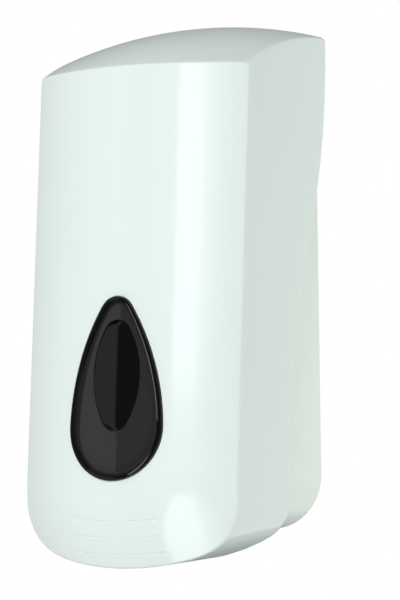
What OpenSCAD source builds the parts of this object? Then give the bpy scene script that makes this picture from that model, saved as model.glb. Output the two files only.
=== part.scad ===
// Wall mounted soap dispenser with a push front.
// The whole cover hangs on a rod at the top of the wall tray: pressing its foot works a
// horizontal pump, and with the lock turned back it swings up for refilling.
// X runs across the front, the wall is the plane Y = 0 with the front towards -Y, and Z is up.
// The origin is the centre of the wall fixings.

/* [Cover] */
// Width of the cover
cover_w = 124; // [120:0.5:130]
// Wall thickness of the cover
cover_wall = 2.5; // [2:0.1:3]
// Depth of the cover's lowest point below the fixing centre
cover_drop = 140.5; // [139:0.2:142]
// Radius of the two lower corners at the front
corner_r = 28; // [26:0.5:30]
// Radius of the slack curve along the bottom edge of the front
foot_r = 170; // [155:1:185]
// Radius of the two lower corners at the cover's rear edge
back_corner_r = 24; // [22:0.5:26]
// Radius of the curve along the bottom of the rear edge
back_foot_r = 105; // [100:1:115]
// Rise of the cover's underside from its front to its rear edge
foot_rise = 3; // [2:0.1:3.5]
// Distance from the wall to the fullest point of the front
cover_depth = 114.4; // [113:0.2:118]
// Depth of the fullest point below the fixing centre
full_drop = 94; // [88:1:98]
// Plan radius of the bowed front
front_r = 117; // [105:1:130]
// Backward lean of the front, in degrees
front_lean = 3.4; // [3:0.1:4]
// Radius of the tuck-under at the foot of the front
tuck_r = 96; // [85:1:110]
// Radius of the domed crown
crown_r = 211; // [200:1:225]
// Height of the dome's top above the fixing centre
crown_top = 144.9; // [144.3:0.2:147]
// Distance of the dome's top behind the wall plane
crown_back = 8.8; // [6:0.2:10]
// Radius of the rounded rear end of the crown, seen from the side
nape_r = 10; // [9:0.5:11]
// Gap between the wall and the cover's upper rear edge
edge_gap = 1.5; // [1.2:0.1:2.5]
// Distance from the wall to the deepest point of the curved rear edge
waist_depth = 42.7; // [40:0.5:45]
// Depth of that point below the fixing centre
waist_drop = 72; // [68:1:76]
// Radius of the rear edge at that point
waist_r = 212; // [200:2:225]
// Radius of the rear edge at the shoulder above it
shoulder_r = 250; // [220:1:280]
// Slope of the straight stretch between the two, in degrees
edge_tilt = 19.8; // [19:0.2:20.6]
// Distance from the wall to the rear edge at the foot
foot_depth = 40; // [38.5:0.5:41]

/* [Window] */
// Radius of the window's round lower end
window_r = 27.1; // [25:0.1:28]
// Depth of that round end's centre below the fixing centre
window_drop = 69.5; // [67:0.5:72]
// Radius of the window's upper tip
window_tip_r = 10; // [8:0.5:11]
// Distance between the centres of the window's two ends
window_len = 56; // [50:1:60]
// Radius of the window's bowed sides
window_side_r = 118; // [105:1:140]
// Height of the window's rim above the cover
window_proud = 2.3; // [1.5:0.1:3]
// Width of the window's rim
window_rim = 3.4; // [3.3:0.1:4]
// Depth of the window's face below the crest of its rim
window_sink = 3; // [2:0.1:3]
// Depth of the seat sunk in the cover for the window's rim
window_seat = 1; // [0.8:0.1:1.2]
// Width of the ledge that the window's rim lies on
window_ledge = 3; // [2.8:0.1:4]
// Clearance around the window in its seat
window_fit = 0.15; // [0.1:0.05:0.25]
// Half the length of the raised oval pane
pane_a = 26.6; // [25:0.1:28]
// Half the width of the raised oval pane
pane_b = 12.2; // [11:0.1:13.5]
// End radius of the oval pane
pane_end_r = 6.8; // [6:0.1:8]
// Depth of the oval pane's centre below the fixing centre
pane_drop = 43.6; // [43:0.2:45]
// Height of the oval pane above the window's face
pane_proud = 2; // [1:0.1:2.2]

/* [Grip lines] */
// Number of fine lines cut across the push area
grip_count = 3; // [1:1:3]
// Distance of the lowest line from the bottom edge
grip_rise = 7.1; // [6:0.1:9]
// Radius of the lowest line
grip_line_r = 230; // [190:1:260]
// Distance from line to line
grip_pitch = 8.45; // [7:0.05:9]
// Length of each line
grip_len = 48; // [36:1:50]
// Height of each line
grip_h = 0.8; // [0.5:0.1:1.2]
// Depth of each line
grip_cut = 0.4; // [0.2:0.1:0.6]

/* [Wall tray] */
// Wall thickness of the tray
tray_wall = 2.5; // [2:0.1:3]
// Thickness of the tray's floor against the wall
floor_t = 3; // [2.5:0.1:3.5]
// Distance that the tray's rim stands out from the wall
tray_depth = 52; // [50:0.5:54]
// Distance that the rim stands out at its top
tray_top_depth = 24; // [20:1:28]
// Height of the tray's top above the fixing centre
tray_top = 112; // [108:1:112]
// Depth of the tray's bottom below the fixing centre
tray_drop = 121.8; // [120.8:0.5:123.8]
// Radius of the tray's lower corners
tray_corner_r = 28.6; // [26:0.1:31]
// Clearance between the tray and the cover's sides at the foot
tray_gap = 1.5; // [1:0.1:2]
// Narrowing of each side of the tray towards its top
tray_taper = 3; // [2:0.5:4]

/* [Wall fixings] */
// Distance between the fixing holes across the tray
fix_x = 84; // [78:1:88]
// Distance between the fixing holes up the tray
fix_z = 150; // [140:1:156]
// Radius of the fixing holes
fix_r = 2.75; // [2.25:0.25:3]

/* [Hinge] */
// Distance of the hinge rod from the wall
hinge_depth = 20; // [19.6:0.1:20.6]
// Height of the hinge rod above the fixing centre
hinge_height = 133; // [132.6:0.1:133.6]
// Radius of the hinge rod
rod_r = 2; // [1.8:0.1:2.2]
// Radial running clearance of the hinge rod
rod_fit = 0.05; // [0.03:0.01:0.08]
// Distance of each tray arm from the middle
arm_x = 18; // [16:0.5:20]
// Width of each tray arm
arm_w = 6; // [5:0.5:7]
// Width of each cover lug
lug_w = 6; // [5:0.5:7]
// Side gap between the arm, the lug and the rod's clip
hinge_gap = 0.3; // [0.2:0.05:0.4]

/* [Reservoir] */
// Clearance between the reservoir's sides and the top of the tray
tank_gap = 2.5; // [1.5:0.5:5]
// Distance from the wall to the reservoir's front
tank_front = 84; // [82:0.5:85]
// Distance from the wall to the reservoir's back
tank_back = 9; // [8.5:0.5:11]
// Depth of the reservoir's foot below the fixing centre
tank_foot = 80; // [79:0.5:81]
// Height of the reservoir's body
tank_h = 165; // [150:1:168]
// Wall thickness of the reservoir
tank_wall = 2; // [1.6:0.1:2.4]
// Corner radius of the reservoir
tank_corner_r = 16; // [12:1:20]
// Outer radius of the filler neck
neck_r = 22; // [20:0.5:24]
// Wall thickness of the filler neck
neck_wall = 3; // [2.5:0.1:3.5]
// Height of the filler neck
neck_h = 8; // [7.5:0.5:9]
// Distance of the filler neck from the wall
neck_depth = 46; // [42:1:48]
// Height of the filler cap over the neck
cap_h = 4; // [3:0.1:5]
// Wall thickness of the filler cap's skirt
cap_wall = 2; // [1.8:0.1:2.4]
// Radius of the filler cap's air hole
vent_r = 1; // [0.8:0.1:1.4]
// Thickness of the filler cap's seal
cap_seal_t = 1.5; // [1.2:0.1:1.8]

/* [Pump] */
// Depth of the pump's axis below the fixing centre
pump_drop = 105; // [104.4:0.1:105.6]
// Radius of the pump's bore
bore_r = 10; // [9.5:0.1:10.4]
// Wall thickness of the pump's barrel
barrel_wall = 3; // [2.5:0.1:3.4]
// Distance of the front of the barrel behind the push cap's tip
barrel_inset = 20; // [19.6:0.1:20.4]
// Length of the pump's bore
barrel_len = 33; // [31:0.5:35]
// Thickness of the barrel's closed end
barrel_end = 4; // [3:0.5:5]
// Distance of the inlet and outlet behind the front of the barrel
port_inset = 27; // [26.6:0.2:27.4]
// Radius of the inlet stub that passes into the reservoir
inlet_r = 8; // [7.6:0.1:8.4]
// Radius of the passage for the inlet valve
inlet_bore_r = 5; // [4.8:0.1:5.4]
// Length of the inlet stub above the reservoir's foot
inlet_rise = 10; // [9:0.5:12]
// Radius of the outlet stub
outlet_r = 7; // [6.6:0.1:7.4]
// Radius of the passage through the outlet stub
outlet_bore_r = 3.5; // [3:0.1:3.8]
// Length of the outlet stub below the pump's axis
outlet_len = 17; // [16.6:0.1:17.6]
// Radius of the piston rod
piston_rod_r = 4; // [3.6:0.1:4.4]
// Length of the piston's head
piston_len = 6; // [5.5:0.1:6.5]
// Radial clearance of the seals and running pump parts
pump_fit = 0.05; // [0.03:0.01:0.08]
// Distance of the push cap's tip behind the fullest point of the front
push_inset = 13.4; // [12.8:0.1:13.6]
// Radius of the push cap's domed face
push_dome_r = 30; // [26:1:34]
// Radius of the push cap
push_r = 13; // [12:0.5:14]
// Gap between the push cap and the striker on the cover
striker_gap = 0.3; // [0.25:0.05:0.35]
// Radius of the striker
striker_r = 8; // [7:0.5:9]
// Radius of the return spring's wire
spring_wire_r = 0.6; // [0.5:0.05:0.7]
// Mean radius of the return spring's coil
spring_r = 6.5; // [6:0.1:7]
// Number of coils of the return spring
spring_turns = 6; // [4:1:8]
// Radius of the inlet valve's ball
ball_r = 2.8; // [2.6:0.1:3]
// Lift of the ball from its cage to its seat
ball_lift = 1.5; // [1.2:0.1:1.8]
// Radius of the holes in the ball's seat and cage
valve_hole_r = 2; // [1.8:0.1:2.2]
// Depth of the nozzle's tip below the fixing centre
nozzle_drop = 137; // [136:0.2:138]
// Radius of the nozzle's mouth
nozzle_bore_r = 3; // [2.6:0.1:3.4]
// Wall thickness of the nozzle
nozzle_wall = 2.2; // [1.8:0.1:2.4]

/* [Pump bracket] */
// Sheet thickness of the pump bracket
sheet_t = 2; // [1.6:0.1:2.2]
// Distance of the pump bracket's ends from the tray's sides
bracket_inset = 16; // [14:1:18]
// Clearance between the pump and the bracket's cheeks
cheek_gap = 1; // [0.8:0.1:1.4]
// Thickness of the pad on the tray behind the bracket
pad_t = 3; // [2.5:0.1:3.5]
// Radius of the bracket screws
screw_r = 1.5; // [1.3:0.1:1.7]

/* [Lock] */
// Distance of the lock from the cover's side
lock_inset = 31; // [30.5:0.1:31.5]
// Distance of the lock from the wall
lock_depth = 56; // [55:0.5:57]
// Radius of the lock's housing
lock_r = 8; // [7.6:0.1:8.2]
// Radius of the lock's turning plug
plug_r = 5.5; // [5:0.1:5.8]
// Height of the lock boss's shelf above the cover's lowest point
lock_shelf = 11; // [10.7:0.1:11.3]
// Gap between the turned cam's tip and the pump bracket's cheek
cam_gap = 1; // [0.7:0.1:1.5]
// Width of the lock's cam
cam_w = 9; // [8:0.5:10]
// Play between the locked cam and its keeper
keeper_gap = 1.1; // [0.8:0.1:1.5]

/* [Hidden] */
$fn = 96;

// far enough to run past the whole product
far = 400;
// small overlap that carries a cut past a face or joins two forms of one piece
lap = 0.5;

// cover
half_w = cover_w / 2;
tilt_s = sin(edge_tilt);
tilt_c = 1 - cos(edge_tilt);
ridge_z = -full_drop;
crown_z = crown_top - crown_r;
waist_start = [-waist_depth + waist_r * tilt_c, -waist_drop + waist_r * tilt_s];
shoulder_y = -edge_gap - shoulder_r * tilt_c;
shoulder_z = waist_start[1] + (shoulder_y - waist_start[0]) / tan(edge_tilt) + shoulder_r * tilt_s;
foot_turn = acos(1 - (waist_depth - foot_depth) / waist_r);
nape_y = -edge_gap - nape_r;
nape_z = crown_z + sqrt(pow(crown_r, 2) - pow(nape_y - crown_back, 2)) - nape_r + lap;
arc_steps = 12;
catch_t = 1.2;
catch_gap = 0.1;
catch_w = 10;
lens_wall = 2;
lens_t = 2.1;

// tray
tray_half = half_w - cover_wall - tray_gap;
tray_corner_z = tray_corner_r - tray_drop;
rim_turn_z = 20;
boss_t = 1.5;
boss_r = fix_r + 4;
tank_top = tank_h - tank_foot;
rail_x = 19;
rail_w = 2.5;
seat_gap = 0.3;
hook_inset = 14;
hook_w = 8;
hook_t = 3;
hook_lap = 12;
tank_w = 2 * (tray_half - tray_taper - tray_wall - tank_gap);
hook_x = tank_w / 2 - hook_inset;
hook_reach = tank_back + hook_lap;

// hinge
eye_wall = 2.2;
head_r = rod_r + eye_wall;
lug_r = head_r + 0.6;
arm_foot = 24;
arm_nose = 8;
lug_x = arm_x + arm_w + hinge_gap;
clip_x = lug_x + lug_w + hinge_gap;
clip_t = 0.8;
clip_rim = 1.6;
clip_play = 0.05;
groove_depth = 0.4;
groove_r = rod_r - groove_depth;
rod_tail = 2;
rod_half = clip_x + clip_t + rod_tail;

// reservoir
cap_gap = 2;
cap_bore_r = neck_r + cap_gap;
cap_foot = 1;
seal_lip = 1;
grip_r = 1.5;
cap_grips = 12;
bayonet_turn = 40;
bayonet_t = 1.6;
bayonet_reach = 1.4;
bayonet_play = 0.4;
bayonet_z = tank_top + neck_h - cap_gap - bayonet_t;

// bracket
shelf_z = -tank_foot - sheet_t;
cheek_x = bore_r + barrel_wall + cheek_gap;
cheek_reach = lock_depth + cam_w / 2 + keeper_gap + sheet_t;
bracket_w = 2 * (tray_half - bracket_inset);
shelf_inset = 2;
shelf_reach = tank_front - shelf_inset;
flange_y = -floor_t - pad_t;
foot_gap = 4;
bracket_foot = tray_drop - tray_wall - foot_gap;
screw_inset = 12;
screw_edge = 8;
screw_x = bracket_w / 2 - screw_inset;
screw_zs = [shelf_z - screw_edge, screw_edge - bracket_foot];
screw_head_r = 2.2 * screw_r;
screw_head_h = 1.3 * screw_r;
screw_tip = 1.5;
screw_room = 0.5;
slot_w = 0.7;
tap_fit = 0.02;
keeper_lap = 5;
keeper_rise = 2;
keeper_h = 20;

// pump
push_tip = cover_depth - push_inset;
barrel_front = push_tip - barrel_inset;
port_depth = barrel_front - port_inset;
barrel_r = bore_r + barrel_wall;
bore_end_y = barrel_len - barrel_front;
stub_flange_t = 3;
stub_flange_r = inlet_r + 5;
stub_top = inlet_rise - tank_foot;
outlet_foot = -pump_drop - outlet_len;
seal_t = 1.7;
nut_t = 5;
nut_r = inlet_r + 6;
thread_fit = 0.1;
gland_plug = 5;
gland_flange = 2.5;
piston_play = 0.5;
piston_front = -barrel_front + gland_plug + piston_play;
piston_rear = piston_front + piston_len;
piston_gap = 0.4;
piston_r = bore_r - piston_gap;
ring_w = 2.2;
ring_depth = 1.8;
ring_y = piston_front + (piston_len - ring_w) / 2;
spigot_gap = 1;
spigot_r = spring_r - spring_wire_r - spigot_gap;
spigot_len = 3.5;
wire_sides = 6;
turn_steps = 16;
push_rim = push_dome_r - sqrt(pow(push_dome_r, 2) - pow(push_r, 2));
push_edge = 2;
push_back = push_tip - push_rim - push_edge;
socket_depth = 2.5;
ball_drop = sqrt(pow(ball_r, 2) - pow(valve_hole_r, 2));
seat_drop = 1;
seat_z = shelf_z - seat_drop;
seat_t = 4;
ball_clear = 0.02;
ball_z = seat_z - ball_drop - ball_lift - ball_clear;
cage_top = ball_z - ball_drop - ball_clear;
cage_shelf = 2;
cage_foot = bore_r - pump_drop + cage_shelf;
cage_slot_w = 1.2;
cage_slot_h = 1.6;
valve_flange_t = 1.2;
valve_play = 0.1;
lip_len = 7;
lip_gap = 0.2;
lip_taper = 0.8;
lip_slot_inset = 1.6;
lip_slot_w = 0.6;
nozzle_r = outlet_r + nozzle_wall;
nozzle_grip = outlet_len - barrel_r - lap;
nozzle_step = outlet_foot - valve_flange_t - valve_play;
nozzle_floor = 2;
nozzle_tip_wall = 2.6;
nozzle_tip_r = nozzle_bore_r + nozzle_tip_wall;
slot_side = 1.8;
slot_half = nozzle_r + slot_side;
slot_room = 12.8;
slot_front = port_depth + nozzle_r + slot_room;

// lock
lock_x = half_w - lock_inset;
cam_reach = lock_x - cheek_x - sheet_t - cam_gap;
lock_flange_r = lock_r + 2;
pocket_gap = 0.3;
lock_pocket_r = lock_flange_r + pocket_gap;
lock_boss_r = lock_pocket_r + 1.7;
shelf_t = 2.5;
lock_seat = lock_shelf - cover_drop;
lock_boss_top = lock_seat + shelf_t;
lock_flange_t = 1.5;
lock_nut_t = 3;
lock_nut_r = lock_r + 2;
lock_stand = 0.5;
lock_top = lock_boss_top + lock_nut_t + lock_stand;
plug_top = lock_top + lock_stand;
plug_rim = 1;
plug_play = 0.1;
key_w = 1.2;
key_depth = 4;
plug_floor = 5;
cam_t = 2;
cam_screw_r = 1.9;
cam_screw_len = 5;
cam_head_r = 3.2;
cam_head_h = 2;
cam_slot_h = 1;
notch_side = 14;
notch_back = 24;
notch_room = 2;
notch_top = plug_top + cam_t + cam_head_h + notch_room;

// ---------- forms shared by several pieces ----------

// points of an arc between two angles, without its last point
function arc(centre, r, from, to, steps) = [
  for (i = [0:steps - 1]) let (a = from + (to - from) * i / steps) centre + r * [cos(a), sin(a)]
];

// the cover's outline seen from the front, drawn inwards by an inset
module cover_outline(corner, foot_arc, low, inset) {
  r = corner - inset;
  x = half_w - corner;
  foot = [0, foot_arc + low];
  drop = sqrt(pow(foot_arc - corner, 2) - x * x);
  corner_z = foot[1] - drop;
  turn = atan2(drop, x);
  polygon(concat(
    [[half_w - inset, far], [inset - half_w, far]],
    arc([-x, corner_z], r, 180, 180 + turn, arc_steps),
    arc(foot, foot_arc - inset, 180 + turn, 360 - turn, arc_steps),
    arc([x, corner_z], r, 360 - turn, 360, arc_steps),
    [[half_w - inset, corner_z]]
  ));
}

// outline of the cover at its front
module front_outline(inset) {
  cover_outline(corner_r, foot_r, -cover_drop, inset);
}

// smaller outline of the cover at its rear edge
module rear_outline(inset) {
  cover_outline(back_corner_r, back_foot_r, foot_rise - cover_drop, inset);
}

// walls of the cover, which draw in at the bottom from the front outline to the rear one
module wall_form(inset) {
  through_y(-far / 2, -cover_depth) front_outline(inset);
  hull() {
    through_y(-cover_depth - lap, -cover_depth) front_outline(inset);
    through_y(-foot_depth, -foot_depth + lap) rear_outline(inset);
  }
  through_y(-foot_depth, far / 4) rear_outline(inset);
}

// solid that ends at the bowed, leaning front, moved outwards by a distance
module front_form(out) {
  core = front_r - tuck_r;
  translate([0, -cover_depth, ridge_z])
    rotate([-front_lean, 0, 0])
      translate([0, front_r, 0])
        rotate_extrude($fn = 240) {
          square([front_r + out, far]);
          intersection() {
            translate([core, 0]) circle(tuck_r + out, $fn = 240);
            translate([0, -tuck_r]) square([far, tuck_r]);
          }
          translate([0, -tuck_r]) square([core, tuck_r]);
        }
}

// solid that ends at the domed crown
module crown_form(out) {
  translate([0, crown_back, crown_z]) sphere(crown_r + out, $fn = 240);
}

// upright outline pushed through along Y, from its front to its back
module through_y(front, back) {
  translate([0, back, 0]) rotate([90, 0, 0]) linear_extrude(back - front) children();
}

// outline drawn in Y and Z, pushed through along X
module through_x(from, to) {
  translate([from, 0, 0]) rotate([90, 0, 90]) linear_extrude(to - from) children();
}

// round bar along Y from its front to its back
module bar_y(front, back, r) {
  translate([0, front, 0]) rotate([-90, 0, 0]) cylinder(h = back - front, r = r);
}

// round bar along X
module bar_x(from, to, r) {
  translate([from, 0, 0]) rotate([0, 90, 0]) cylinder(h = to - from, r = r);
}

// upright ring
module ring(r_out, r_in, h) {
  difference() {
    cylinder(h = h, r = r_out);
    translate([0, 0, -lap]) cylinder(h = h + 2 * lap, r = r_in);
  }
}

// the whole form of the cover, its walls drawn inwards by an inset
module cover_form(inset) {
  intersection() {
    wall_form(inset);
    front_form(-inset);
    crown_form(-inset);
  }
}

// points of the curved rear edge from the foot up to the rounded end of the crown
function edge_points() = [
  [-foot_depth, -far],
  for (i = [0:arc_steps])
    let (a = -foot_turn + (edge_tilt + foot_turn) * i / arc_steps)
      [-waist_depth + waist_r * (1 - cos(a)), -waist_drop + waist_r * sin(a)],
  for (i = [0:arc_steps])
    let (a = edge_tilt * (1 - i / arc_steps))
      [-edge_gap - shoulder_r * (1 - cos(a)), shoulder_z - shoulder_r * sin(a)],
  for (i = [0:arc_steps])
    let (a = 90 * i / arc_steps) [nape_y + nape_r * cos(a), nape_z + nape_r * sin(a)]
];

module side_outline() {
  polygon(concat(edge_points(), [[-far, nape_z + nape_r], [-far, -far]]));
}

// egg-shaped outline between two end arcs on a centre line, with bowed sides
module egg_outline(low_z, low_r, tip_z, tip_r, side_r, inset) {
  len = tip_z - low_z;
  to_low = side_r - low_r;
  to_tip = side_r - tip_r;
  rise = (to_low * to_low - to_tip * to_tip + len * len) / (2 * len);
  side = [sqrt(to_low * to_low - rise * rise), low_z + rise];
  from = atan2(-rise, side[0]);
  to = atan2(len - rise, side[0]);
  polygon(concat(
    arc([-side[0], side[1]], side_r - inset, from, to, arc_steps),
    arc([0, tip_z], tip_r - inset, to, 180 - to, arc_steps),
    arc(side, side_r - inset, 180 - to, 180 - from, arc_steps),
    arc([0, low_z], low_r - inset, 180 - from, 360 + from, 2 * arc_steps)
  ));
}

// drop-shaped outline of the window, drawn inwards by an inset
module window_outline(inset) {
  egg_outline(-window_drop, window_r, window_len - window_drop, window_tip_r, window_side_r, inset);
}

// oval outline of the pane
module oval_outline() {
  end = pane_a - pane_end_r;
  side_r = (end * end + pane_b * pane_b - pane_end_r * pane_end_r) / (2 * (pane_b - pane_end_r));
  egg_outline(-end, pane_end_r, end, pane_end_r, side_r, 0);
}

// slice of the window's outline between two depths under the cover's face
module window_layer(inset, out_front, out_back) {
  difference() {
    intersection() {
      through_y(-far / 2, -cover_depth / 2) window_outline(inset);
      front_form(out_front);
    }
    front_form(out_back);
  }
}

// ---------- wall tray ----------

module tray_outline(inset) {
  r = tray_corner_r - inset;
  x = tray_half - tray_corner_r;
  top = [tray_half - tray_taper - inset, tray_top - inset];
  polygon(concat(
    [top, [-top[0], top[1]]],
    arc([-x, tray_corner_z], r, 180, 270, arc_steps),
    [[-x, inset - tray_drop]],
    arc([x, tray_corner_z], r, 270, 360, arc_steps),
    [[tray_half - inset, tray_corner_z]]
  ));
}

module tray_side() {
  polygon([
    [lap, -far], [-tray_depth, -far], [-tray_depth, rim_turn_z],
    [-tray_top_depth, tray_top], [lap, tray_top + lap]
  ]);
}

// forked arm that reaches forward from the floor and up to the hinge rod
module hinge_arm() {
  low = tray_top - arm_foot;
  back = -floor_t + lap;
  difference() {
    through_x(0, arm_w) {
      translate([-hinge_depth, hinge_height]) circle(head_r);
      polygon([
        [back, low], [back, tray_top - tray_wall + lap], [head_r - hinge_depth, tray_top],
        [head_r - hinge_depth, hinge_height], [-head_r - hinge_depth, hinge_height],
        [-head_r - hinge_depth, tray_top - arm_nose], [-tray_top_depth / 2, low]
      ]);
    }
    translate([0, -hinge_depth, hinge_height]) bar_x(-lap, arm_w + lap, rod_r + rod_fit);
  }
}

module back_plate() {
  color("honeydew") difference() {
    union() {
      difference() {
        intersection() {
          through_y(-tray_depth, 0) tray_outline(0);
          through_x(-far / 2, far / 2) tray_side();
        }
        through_y(-far, -floor_t) tray_outline(tray_wall);
      }
      // pad behind the pump bracket
      translate([-bracket_w / 2, flange_y, -bracket_foot])
        cube([bracket_w, pad_t + lap, bracket_foot + shelf_z]);
      // rails that the reservoir leans on
      for (s = [-1, 1]) translate([s * rail_x - rail_w / 2, seat_gap - tank_back, -tank_foot / 2])
        cube([rail_w, tank_back - floor_t - seat_gap + lap, tank_top + tank_foot / 2]);
      // hooks over the reservoir's top edge
      for (s = [-1, 1]) translate([s * hook_x - hook_w / 2, -hook_reach, tank_top + seat_gap])
        cube([hook_w, hook_reach - floor_t + lap, hook_t]);
      for (x = [-arm_x - arm_w, arm_x]) translate([x, 0, 0]) hinge_arm();
      for (x = [-1, 1], z = [-1, 1])
        translate([x * fix_x / 2, 0, z * fix_z / 2]) bar_y(-floor_t - boss_t, -lap, boss_r);
    }
    for (x = [-1, 1], z = [-1, 1])
      translate([x * fix_x / 2, 0, z * fix_z / 2]) bar_y(-far, lap, fix_r);
    for (x = [-screw_x, screw_x], z = screw_zs)
      translate([x, 0, z]) bar_y(flange_y - lap, screw_room - screw_tip, screw_r + tap_fit);
    // clearance in the bottom wall for the lock and the nozzle
    translate([-lock_x - notch_side, -far, -tray_drop - lap])
      cube([lock_x + notch_side + slot_half, far - notch_back, notch_top + tray_drop + lap]);
  }
}

// ---------- pump bracket ----------

module pump_bracket() {
  color("silver") difference() {
    union() {
      translate([-bracket_w / 2, -shelf_reach, shelf_z])
        cube([bracket_w, shelf_reach + flange_y, sheet_t]);
      translate([-bracket_w / 2, flange_y - sheet_t, -bracket_foot])
        cube([bracket_w, sheet_t, bracket_foot + shelf_z + lap]);
      for (x = [-cheek_x - sheet_t, cheek_x])
        translate([x, -cheek_reach, -bracket_foot])
          cube([sheet_t, cheek_reach + flange_y - lap, bracket_foot + shelf_z + lap]);
      // keeper tab for the lock's cam
      translate([-cheek_x - sheet_t - cam_gap - keeper_lap, -cheek_reach, lock_boss_top + keeper_rise])
        cube([sheet_t + cam_gap + keeper_lap, sheet_t, keeper_h]);
    }
    translate([0, -port_depth, shelf_z - lap]) cylinder(h = sheet_t + 2 * lap, r = inlet_r + thread_fit);
    for (x = [-screw_x, screw_x], z = screw_zs)
      translate([x, 0, z]) bar_y(flange_y - sheet_t - lap, flange_y + lap, screw_r + tap_fit);
  }
}

module bracket_screws() {
  head_y = flange_y - sheet_t;
  color("gainsboro")
    for (x = [-screw_x, screw_x], z = screw_zs) translate([x, 0, z]) difference() {
      union() {
        bar_y(head_y - screw_head_h, head_y, screw_head_r);
        bar_y(head_y - lap, -screw_tip, screw_r);
      }
      for (turn = [0, 90]) rotate([0, turn, 0])
        translate([-screw_r, head_y - far, -slot_w / 2])
          cube([2 * screw_r, far - screw_head_h / 2, slot_w]);
    }
}

// ---------- reservoir ----------

module tank_outline(inset) {
  x = tank_w / 2 - tank_corner_r;
  depth = tank_front - tank_back;
  y = depth / 2 - tank_corner_r;
  r = tank_corner_r - inset;
  translate([0, -tank_back - depth / 2]) {
    for (sx = [-x, x], sy = [-y, y]) translate([sx, sy]) circle(r);
    square([2 * x, depth - 2 * inset], center = true);
    square([tank_w - 2 * inset, 2 * y], center = true);
  }
}

// pair of bayonet teeth between two radii
module bayonet_pair(r_in, r_out) {
  for (side = [0, 180]) rotate([0, 0, side - bayonet_turn / 2])
    rotate_extrude(angle = bayonet_turn) translate([r_in, 0]) square([r_out - r_in, bayonet_t]);
}

module reservoir() {
  color("whitesmoke") difference() {
    union() {
      translate([0, 0, -tank_foot]) linear_extrude(tank_h) tank_outline(0);
      translate([0, -neck_depth, tank_top - lap]) cylinder(h = neck_h + lap, r = neck_r);
      translate([0, -neck_depth, bayonet_z]) bayonet_pair(neck_r - lap, neck_r + bayonet_reach);
    }
    translate([0, 0, tank_wall - tank_foot]) linear_extrude(tank_h - 2 * tank_wall) tank_outline(tank_wall);
    translate([0, -neck_depth, tank_top - tank_wall - lap])
      cylinder(h = neck_h + tank_wall + 2 * lap, r = neck_r - neck_wall);
    translate([0, -port_depth, -tank_foot - lap]) cylinder(h = tank_wall + 2 * lap, r = inlet_r + thread_fit);
  }
}

module tank_outlet_seal() {
  color("dimgray") translate([0, -port_depth, tank_wall - tank_foot])
    ring(stub_flange_r, inlet_r + thread_fit, seal_t);
}

module tank_outlet_nut() {
  color("white") translate([0, -port_depth, tank_wall - tank_foot + seal_t]) difference() {
    cylinder(h = nut_t, r = nut_r, $fn = 6);
    translate([0, 0, -lap]) cylinder(h = nut_t + 2 * lap, r = inlet_r + thread_fit);
  }
}

module filler_cap() {
  under = neck_h + cap_seal_t;
  r = cap_bore_r + cap_wall;
  color("lightslategray") translate([0, -neck_depth, tank_top]) {
    difference() {
      translate([0, 0, cap_foot]) cylinder(h = neck_h + cap_h - cap_foot, r = r);
      translate([0, 0, cap_foot - lap]) cylinder(h = under - cap_foot + lap, r = cap_bore_r);
      translate([0, 0, under - lap]) cylinder(h = far, r = vent_r);
    }
    translate([0, 0, bayonet_z - tank_top - bayonet_t - bayonet_play])
      bayonet_pair(neck_r + bayonet_play, cap_bore_r + lap);
    // finger grips
    for (i = [1:cap_grips]) rotate([0, 0, 360 * i / cap_grips])
      translate([r - lap, 0, cap_foot]) cylinder(h = neck_h + cap_h - cap_foot, r = grip_r);
  }
}

module filler_cap_seal() {
  color("dimgray") translate([0, -neck_depth, tank_top + neck_h])
    ring(neck_r, neck_r - neck_wall - seal_lip, cap_seal_t);
}

// ---------- pump ----------

module pump_body() {
  color("white") difference() {
    union() {
      translate([0, 0, -pump_drop]) bar_y(-barrel_front, bore_end_y + barrel_end, barrel_r);
      translate([0, -port_depth, -pump_drop]) cylinder(h = pump_drop + stub_top, r = inlet_r);
      translate([0, -port_depth, shelf_z - stub_flange_t]) cylinder(h = stub_flange_t, r = stub_flange_r);
      translate([0, -port_depth, outlet_foot]) cylinder(h = outlet_len, r = outlet_r);
    }
    translate([0, 0, -pump_drop]) bar_y(-barrel_front - lap, bore_end_y, bore_r);
    translate([0, -port_depth, cage_foot]) cylinder(h = far, r = inlet_bore_r);
    translate([0, -port_depth, -pump_drop]) cylinder(h = pump_drop + cage_foot + lap, r = outlet_bore_r);
    translate([0, -port_depth, outlet_foot - lap]) cylinder(h = outlet_len, r = outlet_bore_r);
  }
}

module inlet_ball_cage() {
  h = cage_top - cage_foot;
  color("gainsboro") translate([0, -port_depth, cage_foot]) difference() {
    ring(inlet_bore_r - pump_fit, valve_hole_r, h);
    for (turn = [0, 90]) rotate([0, 0, turn])
      translate([-inlet_bore_r, -cage_slot_w / 2, h - cage_slot_h])
        cube([2 * inlet_bore_r, cage_slot_w, cage_slot_h + lap]);
  }
}

module inlet_ball() {
  color("lightsteelblue") translate([0, -port_depth, ball_z]) sphere(ball_r);
}

module inlet_valve_seat() {
  color("gainsboro") translate([0, -port_depth, seat_z])
    ring(inlet_bore_r - pump_fit, valve_hole_r, seat_t);
}

module pump_gland() {
  color("lightgray") translate([0, 0, -pump_drop]) difference() {
    union() {
      bar_y(-barrel_front - gland_flange, -barrel_front, barrel_r);
      bar_y(-barrel_front - lap, gland_plug - barrel_front, bore_r - pump_fit);
    }
    bar_y(-far, far, piston_rod_r + 2 * pump_fit);
    bar_y(-barrel_front - gland_flange - lap, -barrel_front, piston_rod_r + ring_w);
  }
}

module rod_wiper() {
  front = -barrel_front - gland_flange;
  color("dimgray") translate([0, 0, -pump_drop]) difference() {
    bar_y(front, -barrel_front, piston_rod_r + ring_w - pump_fit);
    bar_y(front - lap, lap - barrel_front, piston_rod_r + pump_fit);
  }
}

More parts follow.
